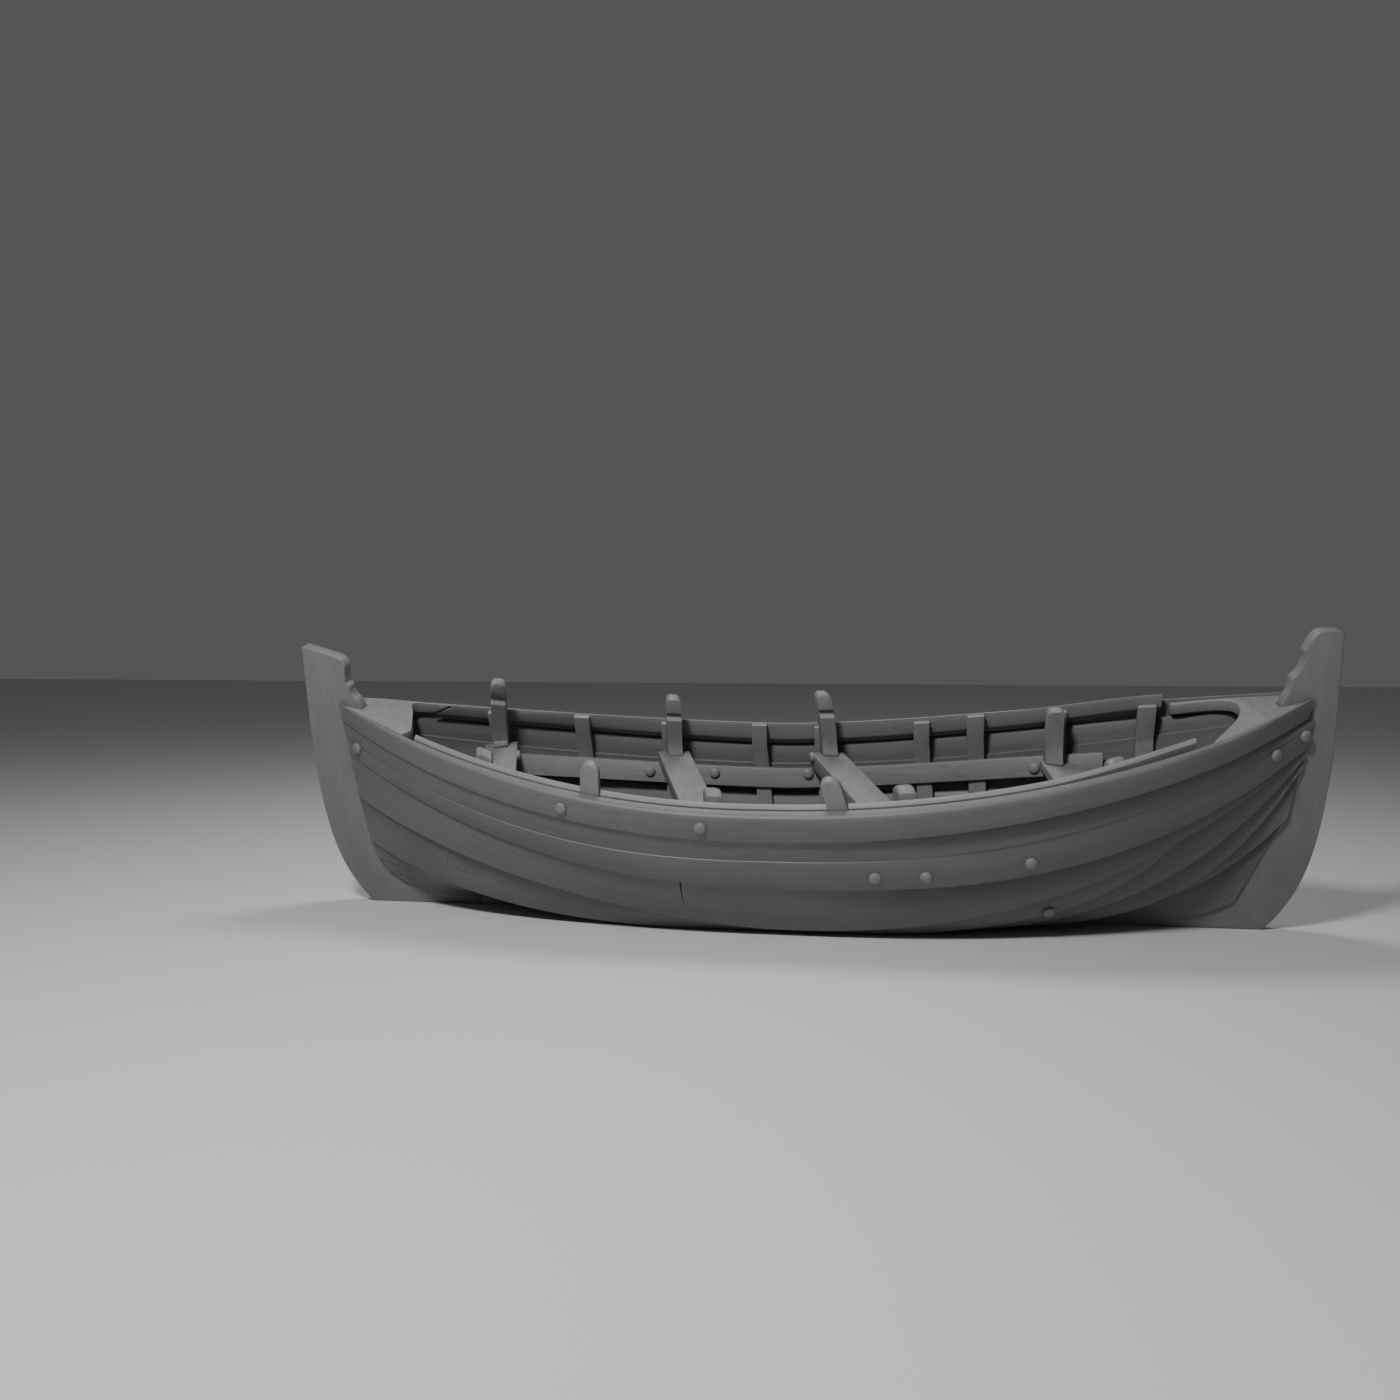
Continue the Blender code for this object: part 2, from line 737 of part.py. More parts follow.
def resting_heel(sections):
    """Angle at which the keel's edge and the bilge are both on the floor."""
    angles = []
    for station in sections:
        for ring in station:
            if ring:
                foot = ring[2] if len(ring) == 7 else ring[1]
                angles.append(math.atan2(foot.z, foot.y - POST_HALF))
    return min(angle for angle in angles if angle > 0.0)


def lay_on_floor(hull, sections):
    """Heel the boat over to starboard and centre its bounding box on the origin."""
    keel_edge = Vector((0.0, -POST_HALF, 0.0))
    heel = Matrix.Rotation(resting_heel(sections), 4, "X")
    laid = heel @ Matrix.Translation(-keel_edge)
    corners = []
    for obj in bpy.data.objects:
        if obj.type == "MESH":
            corners += [laid @ vertex.co for vertex in obj.data.vertices]
    centre = Vector((
        (min(c.x for c in corners) + max(c.x for c in corners)) / 2,
        (min(c.y for c in corners) + max(c.y for c in corners)) / 2,
        0.0,
    ))
    hull.matrix_world = Matrix.Translation(-centre) @ laid


def main():
    clear_scene()
    hull = bpy.data.objects.new("hull_axes", None)
    bpy.context.collection.objects.link(hull)

    planking = make_material("planking")
    backbone = make_material("backbone")
    fittings = make_material("fittings")

    sections = hull_sections()
    inside = Inside(sections)
    build_strakes(sections, planking, hull)
    build_backbone(backbone, hull)
    build_frames(inside, fittings, hull)
    build_stringers(inside, fittings, hull)
    build_thwarts(inside, fittings, hull)
    build_knees(inside, fittings, hull)
    build_breasthooks(inside, fittings, hull)
    build_tholes(inside, fittings, hull)
    lay_on_floor(hull, sections)
    bpy.context.view_layer.update()


main()
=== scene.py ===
"""Dressed view of a double-ended clinker rowboat, heeled on its keel and its bilge.

The hull is shaped in boat axes, with +X to the bow, +Y to port and +Z up from the keel.
Every finished piece is then laid over into the frame's axes, with the heel that the
packed keel shows.
"""

from __future__ import annotations

import logging
import math
from dataclasses import dataclass, field
from enum import Enum
from typing import Callable, Sequence

import bmesh
import bpy
from mathutils import Matrix, Vector, noise
from mathutils.bvhtree import BVHTree

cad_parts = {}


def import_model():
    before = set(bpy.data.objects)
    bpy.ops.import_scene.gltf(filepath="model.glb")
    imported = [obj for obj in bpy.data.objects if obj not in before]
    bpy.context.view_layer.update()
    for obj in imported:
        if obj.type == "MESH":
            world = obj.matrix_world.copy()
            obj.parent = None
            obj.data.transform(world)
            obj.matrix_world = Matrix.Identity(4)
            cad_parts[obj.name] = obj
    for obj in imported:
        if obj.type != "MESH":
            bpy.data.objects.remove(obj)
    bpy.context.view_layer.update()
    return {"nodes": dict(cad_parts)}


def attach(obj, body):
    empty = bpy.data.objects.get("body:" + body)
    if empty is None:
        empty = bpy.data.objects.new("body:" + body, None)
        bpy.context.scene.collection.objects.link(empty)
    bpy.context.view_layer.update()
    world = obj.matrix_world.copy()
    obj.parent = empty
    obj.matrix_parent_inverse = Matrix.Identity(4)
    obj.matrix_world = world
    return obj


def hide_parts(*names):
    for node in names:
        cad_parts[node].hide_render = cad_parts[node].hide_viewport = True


LOG = logging.getLogger("rowboat")
PHOTO_SIDE = 1400
SENSOR_WIDTH = 36.0
BODY = "root"

Ring = list[Vector]
Corner = tuple[Vector, float, int]


class Side(Enum):
    """The two sides of the boat."""

    PORT = 1
    STARBOARD = -1

    @property
    def label(self) -> str:
        """Ending of a piece's name on this side."""
        return self.name.lower()


class Slot(Enum):
    """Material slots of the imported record."""

    PLANKING = "planking"
    BACKBONE = "backbone"
    FITTINGS = "fittings"


class GrainWay(Enum):
    """Which way the fibres of a piece run."""

    ALONG_SURFACE = "surface"
    FORE_AND_AFT = "x"
    ATHWART = "y"
    UPRIGHT = "z"


# Modelling helpers


def deselect_everything() -> None:
    """Leave nothing selected, so that an operator acts on one piece only."""
    if bpy.context.object is not None and bpy.context.object.mode != "OBJECT":
        bpy.ops.object.mode_set(mode="OBJECT")
    bpy.ops.object.select_all(action="DESELECT")


def make_active(piece: bpy.types.Object) -> None:
    """Select one piece alone and make it the active one.

    Args:
        piece: The piece that the next operators work on.
    """
    deselect_everything()
    piece.select_set(True)
    bpy.context.view_layer.objects.active = piece


def pick_parts(
    piece: bpy.types.Object,
    kind: str,
    wanted: Callable[[bmesh.types.BMEdge | bmesh.types.BMFace], bool],
) -> None:
    """Open a piece for editing with only some of its edges or faces selected.

    Args:
        piece: The piece to open.
        kind: EDGE or FACE.
        wanted: Tells whether an edge or a face is selected.
    """
    make_active(piece)
    bpy.ops.object.mode_set(mode="EDIT")
    bpy.ops.mesh.select_mode(type=kind)
    bpy.ops.mesh.select_all(action="DESELECT")
    cage = bmesh.from_edit_mesh(piece.data)
    for part in cage.edges if kind == "EDGE" else cage.faces:
        part.select_set(wanted(part))
    bmesh.update_edit_mesh(piece.data)


def apply_modifiers(piece: bpy.types.Object) -> None:
    """Apply every modifier of a piece in order."""
    make_active(piece)
    for modifier in list(piece.modifiers):
        bpy.ops.object.modifier_apply(modifier=modifier.name)


def soften_edges(
    piece: bpy.types.Object, width: float, segments: int = 2, angle_deg: float = 35.0
) -> None:
    """Round the sharp edges of a piece.

    Args:
        piece: The piece to round.
        width: How far the rounding reaches from each edge, in metres.
        segments: Steps across the rounding.
        angle_deg: Edges sharper than this are rounded.
    """
    modifier = piece.modifiers.new("rounding", "BEVEL")
    modifier.width = width
    modifier.segments = segments
    modifier.limit_method = "ANGLE"
    modifier.angle_limit = math.radians(angle_deg)
    modifier.use_clamp_overlap = True
    apply_modifiers(piece)


def shade(piece: bpy.types.Object, angle_deg: float = 38.0) -> None:
    """Shade a piece smoothly apart from its sharp edges."""
    make_active(piece)
    bpy.ops.object.shade_smooth_by_angle(angle=math.radians(angle_deg))


def turn_faces_out(piece: bpy.types.Object) -> None:
    """Point every face of a closed piece outwards."""
    make_active(piece)
    bpy.ops.object.mode_set(mode="EDIT")
    bpy.ops.mesh.select_all(action="SELECT")
    bpy.ops.mesh.normals_make_consistent(inside=False)
    bpy.ops.object.mode_set(mode="OBJECT")


def rounded_ring(corners: Sequence[Corner]) -> Ring:
    """Turn the corners of a section into a ring whose corners are eased.

    Args:
        corners: Each corner's point, how far its easing reaches and its steps. A corner
            with no steps stays sharp.

    Returns:
        The points of the ring.
    """
    ring: Ring = []
    for i, (point, reach, steps) in enumerate(corners):
        if steps == 0:
            ring.append(point.copy())
            continue
        before = corners[i - 1][0] - point
        after = corners[(i + 1) % len(corners)][0] - point
        start = point + before.normalized() * min(reach, 0.45 * before.length)
        end = point + after.normalized() * min(reach, 0.45 * after.length)
        for step in range(steps + 1):
            share = step / steps
            ring.append(start.lerp(point, share).lerp(point.lerp(end, share), share))
    return ring


def shaped_tube(
    name: str, rings: Sequence[Ring], grime: Sequence[Sequence[float]] = ()
) -> bpy.types.Object:
    """Shape a primitive cylinder into a closed piece that runs through rings.

    Args:
        name: Name of the new piece.
        rings: Sections of the piece, each with the same number of points.
        grime: How much painted shade each point of each section takes, from nought to one.

    Returns:
        The piece, with a grain map that runs along it and round it in metres.
    """
    sides, spans = len(rings[0]), len(rings) - 1
    deselect_everything()
    bpy.ops.mesh.primitive_cylinder_add(
        vertices=sides, radius=1.0, depth=2.0, end_fill_type="NGON"
    )
    piece = bpy.context.object
    piece.name = piece.data.name = name
    if spans > 1:
        pick_parts(piece, "EDGE", lambda edge: abs(edge.verts[0].co.z - edge.verts[1].co.z) > 1.0)
        bpy.ops.mesh.subdivide(number_cuts=spans - 1)
        bpy.ops.object.mode_set(mode="OBJECT")
    places = tube_places(piece.data, sides, spans)
    for vertex, (k, i) in zip(piece.data.vertices, places):
        vertex.co = rings[k][i]
    map_grain(piece.data, places, rings)
    # Painted shade: a per-point value that the finish uses to darken the colour under the laps, where
    # shade falls.
    if grime:
        layer = piece.data.attributes.new("grime", "FLOAT", "POINT")
        for value, (k, i) in zip(layer.data, places):
            value.value = grime[k][i]
    piece.data.update()
    turn_faces_out(piece)
    return piece


def tube_places(mesh: bpy.types.Mesh, sides: int, spans: int) -> list[tuple[int, int]]:
    """Ring and corner number of every vertex of a subdivided cylinder."""
    first = mesh.vertices[0].co
    start = math.atan2(first.y, first.x)
    places = []
    for vertex in mesh.vertices:
        turn = (math.atan2(vertex.co.y, vertex.co.x) - start) / math.tau
        ring = round((vertex.co.z + 1.0) / 2.0 * spans)
        places.append((ring, round(turn * sides) % sides))
    return places


def map_grain(
    mesh: bpy.types.Mesh, places: Sequence[tuple[int, int]], rings: Sequence[Ring]
) -> None:
    """Lay a UV map in metres, along the piece and round its section."""
    layer = mesh.uv_layers.active or mesh.uv_layers.new()
    layer.name = "grain"
    centres = [sum(ring, Vector()) / len(ring) for ring in rings]
    along = [0.0]
    for a, b in zip(centres, centres[1:]):
        along.append(along[-1] + (b - a).length)
    middle = rings[len(rings) // 2]
    sides = len(middle)
    around = [0.0]
    for i in range(sides):
        around.append(around[-1] + (middle[(i + 1) % sides] - middle[i]).length)
    for polygon in mesh.polygons:
        corners = [places[mesh.loops[loop].vertex_index] for loop in polygon.loop_indices]
        ring_numbers = {k for k, _ in corners}
        wraps = max(i for _, i in corners) - min(i for _, i in corners) > 1
        for loop, (k, i) in zip(polygon.loop_indices, corners):
            if len(ring_numbers) == 1:
                point = rings[k][i] - centres[k]
                layer.data[loop].uv = (along[k] + 0.2 * point.z, point.y)
                continue
            turn = sides if wraps and i == 0 else i
            layer.data[loop].uv = (along[k], around[turn])


def at_x(line: Sequence[Vector], x: float) -> Vector:
    """Point of a fore-and-aft line at a given x."""
    for a, b in zip(line, line[1:]):
        if a.x <= x <= b.x:
            return a.lerp(b, (x - a.x) / (b.x - a.x))
    return (line[0] if x < line[0].x else line[-1]).copy()


def search_tree(piece: bpy.types.Object) -> BVHTree:
    """Search tree of a piece's faces."""
    points = [vertex.co for vertex in piece.data.vertices]
    return BVHTree.FromPolygons(points, [tuple(face.vertices) for face in piece.data.polygons])


def smooth_step(share: float) -> float:
    """Ease a share between nought and one."""
    share = min(1.0, max(0.0, share))
    return share * share * (3.0 - 2.0 * share)


def smooth_path(points: Sequence[tuple[float, float]], steps: int) -> list[tuple[float, float]]:
    """Run a smooth curve through points of a flat outline.

    Args:
        points: Points that the curve passes through.
        steps: Steps from each point to the next.

    Returns:
        Points of the curve, with both ends kept.
    """
    path = []
    for i in range(len(points) - 1):
        before = Vector(points[max(i - 1, 0)])
        start, end = Vector(points[i]), Vector(points[i + 1])
        after = Vector(points[min(i + 2, len(points) - 1)])
        for step in range(steps):
            u = step / steps
            bend = 2.0 * before - 5.0 * start + 4.0 * end - after
            twist = 3.0 * (start - end) + after - before
            spot = start + 0.5 * u * ((end - before) + u * (bend + u * twist))
            path.append((spot.x, spot.y))
    path.append(tuple(points[-1]))
    return path


# Finishes


def link(tree: bpy.types.NodeTree, source: bpy.types.NodeSocket, target: bpy.types.NodeSocket) -> None:
    """Join two sockets of a node tree."""
    tree.links.new(source, target)


def grey(level: float) -> tuple[float, float, float, float]:
    """An opaque grey."""
    return (level, level, level, 1.0)


def add_noise(
    tree: bpy.types.NodeTree,
    vector: bpy.types.NodeSocket,
    scale: float,
    detail: float,
    distortion: float = 0.0,
) -> bpy.types.NodeSocket:
    """Add a noise texture on a vector and return its value socket."""
    texture = tree.nodes.new("ShaderNodeTexNoise")
    texture.inputs["Scale"].default_value = scale
    texture.inputs["Detail"].default_value = detail
    texture.inputs["Distortion"].default_value = distortion
    link(tree, vector, texture.inputs["Vector"])
    return texture.outputs["Fac"]


def add_math(
    tree: bpy.types.NodeTree,
    operation: str,
    first: bpy.types.NodeSocket,
    second: bpy.types.NodeSocket | float,
) -> bpy.types.NodeSocket:
    """Add a math node and return its value socket."""
    node = tree.nodes.new("ShaderNodeMath")
    node.operation = operation
    link(tree, first, node.inputs[0])
    if isinstance(second, float):
        node.inputs[1].default_value = second
    else:
        link(tree, second, node.inputs[1])
    return node.outputs["Value"]


def add_range(
    tree: bpy.types.NodeTree,
    value: bpy.types.NodeSocket,
    source: tuple[float, float],
    target: tuple[float, float] = (0.0, 1.0),
) -> bpy.types.NodeSocket:
    """Add a node that carries a value from one range to another."""
    node = tree.nodes.new("ShaderNodeMapRange")
    for label, bounds in (("From", source), ("To", target)):
        node.inputs[f"{label} Min"].default_value = bounds[0]
        node.inputs[f"{label} Max"].default_value = bounds[1]
    link(tree, value, node.inputs["Value"])
    return node.outputs["Result"]


def add_tint(
    tree: bpy.types.NodeTree,
    share: bpy.types.NodeSocket,
    colour: bpy.types.NodeSocket,
    level: float,
) -> bpy.types.NodeSocket:
    """Add a node that mixes a colour towards a grey."""
    node = tree.nodes.new("ShaderNodeMix")
    node.data_type = "RGBA"
    node.inputs["B"].default_value = grey(level)
    link(tree, share, node.inputs["Factor"])
    link(tree, colour, node.inputs["A"])
    return node.outputs["Result"]


@dataclass(frozen=True)
class GroupPorts:
    """Names and resting values of a node group's sockets, beside its vector."""

    values: dict[str, float]
    outputs: tuple[str, ...]

    def open(self, name: str) -> bpy.types.NodeTree:
        """Make an empty group with these sockets.

        Args:
            name: Name of the group.

        Returns:
            The new node tree, with its input and output nodes in place.
        """
        tree = bpy.data.node_groups.new(name, "ShaderNodeTree")
        tree.interface.new_socket("Vector", in_out="INPUT", socket_type="NodeSocketVector")
        for label, value in self.values.items():
            socket = tree.interface.new_socket(
                label, in_out="INPUT", socket_type="NodeSocketFloat"
            )
            socket.default_value = value
        for label in self.outputs:
            tree.interface.new_socket(label, in_out="OUTPUT", socket_type="NodeSocketFloat")
        tree.nodes.new("NodeGroupInput").name = "In"
        tree.nodes.new("NodeGroupOutput").name = "Out"
        return tree


@dataclass
class ShaderGroups:
    """Node groups that the wood finishes share, each built once.

    Each noise has a scale, a detail and a distortion. Each output of the fibres is mixed
    from shares of the fine fibres and of the growth bands.
    """

    fine: tuple[float, float, float] = (2.6, 4.0, 0.3)
    bands: tuple[float, float, float] = (0.45, 2.0, 1.2)
    broken: tuple[float, float, float] = (9.0, 3.0, 0.0)
    tone_shares: tuple[float, float] = (0.45, 0.55)
    height_shares: tuple[float, float] = (0.7, 0.3)
    patch_detail: float = 5.0
    patch_roughness: float = 0.6
    sharp_span: tuple[float, float] = (0.52, 0.60)

    def __post_init__(self) -> None:
        """Build the groups."""
        self.fibre = self._fibre()
        self.weather = self._weather()
        self.wear = self._wear()

    def _fibre(self) -> bpy.types.NodeTree:
        """Long fibres with broader growth bands, for a vector whose X runs along them."""
        ports = GroupPorts({"Fineness": 60.0, "Stretch": 14.0}, ("Tone", "Height"))
        tree = ports.open("wood_fibre")
        inlet, outlet = tree.nodes["In"], tree.nodes["Out"]
        across = inlet.outputs["Fineness"]
        squeeze = tree.nodes.new("ShaderNodeCombineXYZ")
        link(tree, add_math(tree, "DIVIDE", across, inlet.outputs["Stretch"]), squeeze.inputs["X"])
        link(tree, across, squeeze.inputs["Y"])
        link(tree, across, squeeze.inputs["Z"])
        scaled = tree.nodes.new("ShaderNodeVectorMath")
        scaled.operation = "MULTIPLY"
        link(tree, inlet.outputs["Vector"], scaled.inputs[0])
        link(tree, squeeze.outputs["Vector"], scaled.inputs[1])
        fine = add_noise(tree, scaled.outputs["Vector"], *self.fine)
        bands = add_noise(tree, scaled.outputs["Vector"], *self.bands)
        for output, shares in (("Tone", self.tone_shares), ("Height", self.height_shares)):
            first = add_math(tree, "MULTIPLY", fine, shares[0])
            second = add_math(tree, "MULTIPLY", bands, shares[1])
            link(tree, add_math(tree, "ADD", first, second), outlet.inputs[output])
        return tree

    def _weather(self) -> bpy.types.NodeTree:
        """Broad patches where the surface has bleached or darkened, about a middle tone."""
        ports = GroupPorts({"Patch": 1.6, "Strength": 0.5}, ("Tone",))
        tree = ports.open("weather_patches")
        inlet, outlet = tree.nodes["In"], tree.nodes["Out"]
        texture = tree.nodes.new("ShaderNodeTexNoise")
        texture.inputs["Detail"].default_value = self.patch_detail
        texture.inputs["Roughness"].default_value = self.patch_roughness
        link(tree, inlet.outputs["Vector"], texture.inputs["Vector"])
        link(tree, inlet.outputs["Patch"], texture.inputs["Scale"])
        centred = add_math(tree, "SUBTRACT", texture.outputs["Fac"], 0.5)
        strong = add_math(tree, "MULTIPLY_ADD", centred, inlet.outputs["Strength"])
        strong.node.inputs[2].default_value = 0.5
        link(tree, strong, outlet.inputs["Tone"])
        return tree

    def _wear(self) -> bpy.types.NodeTree:
        """Rubbed corners, from how sharply the surface turns, broken up by noise."""
        tree = GroupPorts({"Amount": 0.5}, ("Mask",)).open("rubbed_edges")
        inlet, outlet = tree.nodes["In"], tree.nodes["Out"]
        geometry = tree.nodes.new("ShaderNodeNewGeometry")
        sharp = add_range(tree, geometry.outputs["Pointiness"], self.sharp_span)
        broken = add_noise(tree, inlet.outputs["Vector"], *self.broken)
        mixed = add_math(tree, "MULTIPLY", sharp, broken)
        amount = add_math(tree, "MULTIPLY", mixed, inlet.outputs["Amount"])
        link(tree, amount, outlet.inputs["Mask"])
        return tree


@dataclass(frozen=True)
class WoodFinish:
    """A weathered grey wood surface."""

    name: str
    dark: float
    light: float
    worn: float
    roughness: tuple[float, float]
    fineness: float = 60.0
    stretch: float = 14.0
    bump: float = 0.16
    wear: float = 0.5
    # Grey that the painted shade under the laps darkens the colour towards.
    shade_level: float = 0.035
    relief: float = 0.004
    tone_gain: float = 0.86
    ramp_span: tuple[float, float] = (0.72, 1.0)
    rough_span: tuple[float, float] = (0.3, 0.7)

    def build(self, groups: ShaderGroups, way: GrainWay) -> bpy.types.Material:
        """Make the material.

        Args:
            groups: The shared node groups.
            way: Which way the fibres run.

        Returns:
            The material, with grain, patches, rubbed edges and painted shade under the laps.
        """
        material = bpy.data.materials.new(f"{self.name}_{way.name.lower()}")
        material.use_nodes = True
        tree = material.node_tree
        shader = tree.nodes["Principled BSDF"]
        vector = self._grain_vector(tree, way)
        place = tree.nodes.new("ShaderNodeTexCoord").outputs["Object"]
        fibre = self._place_group(tree, groups.fibre, vector)
        fibre.inputs["Fineness"].default_value = self.fineness
        fibre.inputs["Stretch"].default_value = self.stretch
        weather = self._place_group(tree, groups.weather, place)
        wear = self._place_group(tree, groups.wear, place)
        wear.inputs["Amount"].default_value = self.wear
        tone = add_math(tree, "ADD", fibre.outputs["Tone"], weather.outputs["Tone"])
        ramp = tree.nodes.new("ShaderNodeValToRGB")
        for i, level in enumerate((self.dark, self.light)):
            ramp.color_ramp.elements[i].position = self.ramp_span[i]
            ramp.color_ramp.elements[i].color = grey(level)
        link(tree, add_math(tree, "MULTIPLY", tone, self.tone_gain), ramp.inputs["Fac"])
        rubbed = add_tint(tree, wear.outputs["Mask"], ramp.outputs["Color"], self.worn)
        # Painted shade: a per-point attribute of the strakes darkens the colour under the laps and
        # along their inner heads, where shade falls.
        grime = tree.nodes.new("ShaderNodeAttribute")
        grime.attribute_name = "grime"
        shaded = add_tint(tree, grime.outputs["Fac"], rubbed, self.shade_level)
        link(tree, shaded, shader.inputs["Base Color"])
        rough = add_range(tree, fibre.outputs["Tone"], self.rough_span, self.roughness)
        link(tree, rough, shader.inputs["Roughness"])
        relief = tree.nodes.new("ShaderNodeBump")
        relief.inputs["Strength"].default_value = self.bump
        relief.inputs["Distance"].default_value = self.relief
        link(tree, fibre.outputs["Height"], relief.inputs["Height"])
        link(tree, relief.outputs["Normal"], shader.inputs["Normal"])
        return material

    @staticmethod
    def _place_group(
        tree: bpy.types.NodeTree, group: bpy.types.NodeTree, vector: bpy.types.NodeSocket
    ) -> bpy.types.ShaderNodeGroup:
        """Place a shared group and feed its vector."""
        node = tree.nodes.new("ShaderNodeGroup")
        node.node_tree = group
        link(tree, vector, node.inputs["Vector"])
        return node

    @staticmethod
    def _grain_vector(tree: bpy.types.NodeTree, way: GrainWay) -> bpy.types.NodeSocket:
        """Coordinates whose X runs along the fibres."""
        if way is GrainWay.ALONG_SURFACE:
            source = tree.nodes.new("ShaderNodeUVMap")
            source.uv_map = "grain"
            return source.outputs["UV"]
        source = tree.nodes.new("ShaderNodeTexCoord").outputs["Object"]
        if way is GrainWay.FORE_AND_AFT:
            return source
        turned = tree.nodes.new("ShaderNodeMapping")
        if way is GrainWay.ATHWART:
            turned.inputs["Rotation"].default_value = (0.0, 0.0, math.radians(90.0))
        else:
            turned.inputs["Rotation"].default_value = (0.0, math.radians(90.0), 0.0)
        link(tree, source, turned.inputs["Vector"])
        return turned.outputs["Vector"]


@dataclass
class Finishes:
    """Every material of the boat, built when it is first asked for."""

    groups: ShaderGroups
    woods: dict[Slot, WoodFinish] = field(
        default_factory=lambda: {
            Slot.PLANKING: WoodFinish("plank_wood", 0.116, 0.146, 0.22, (0.42, 0.56)),
            Slot.BACKBONE: WoodFinish("post_wood", 0.145, 0.175, 0.24, (0.46, 0.60), 42.0, 12.0),
            Slot.FITTINGS: WoodFinish("frame_wood", 0.165, 0.202, 0.27, (0.42, 0.58), 52.0),
        }
    )
    made: dict[tuple[Slot, GrainWay], bpy.types.Material] = field(default_factory=dict)

    def material(self, slot: Slot, way: GrainWay) -> bpy.types.Material:
        """The finish of a slot with its fibres running one way."""
        if (slot, way) not in self.made:
            self.made[slot, way] = self.woods[slot].build(self.groups, way)
        return self.made[slot, way]


# The boat's own axes and lines


class BoatAxes:
    """Where the boat's own axes lie in the frame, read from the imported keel."""

    def __init__(self, keel: bpy.types.Object) -> None:
        """Find the heel and the origin.

        Args:
            keel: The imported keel, a straight bar with its underside at the boat's Z = 0.
        """
        points = [vertex.co for vertex in keel.data.vertices]
        low = min(points, key=lambda p: p.z)
        out = max(points, key=lambda p: p.y)
        heel = math.atan2(out.z - low.z, out.y - low.y)
        middle_x = (min(p.x for p in points) + max(p.x for p in points)) / 2.0
        origin = Vector((middle_x, (low.y + out.y) / 2.0, (low.z + out.z) / 2.0))
        self.matrix = Matrix.Translation(origin) @ Matrix.Rotation(heel, 4, "X")

    def lay(self, piece: bpy.types.Object) -> None:
        """Move a piece's mesh from the boat's axes to the frame's."""
        piece.data.transform(self.matrix)
        piece.data.update()


@dataclass(frozen=True)
class Edge:
    """Outer lower corner of a strake, amidships and at its two ends."""

    mid_y: float
    mid_z: float
    bow_z: float
    stern_z: float
    bow_full: float
    stern_full: float
    bow_lift: float
    stern_lift: float


@dataclass(frozen=True)
class Section:
    """Corners of one strake at one station."""

    head: Vector
    bend: Vector
    foot: Vector
    inner_foot: Vector
    inner_bend: Vector
    inner_head: Vector
    lap_line: Vector
    run: Vector
    normal: Vector


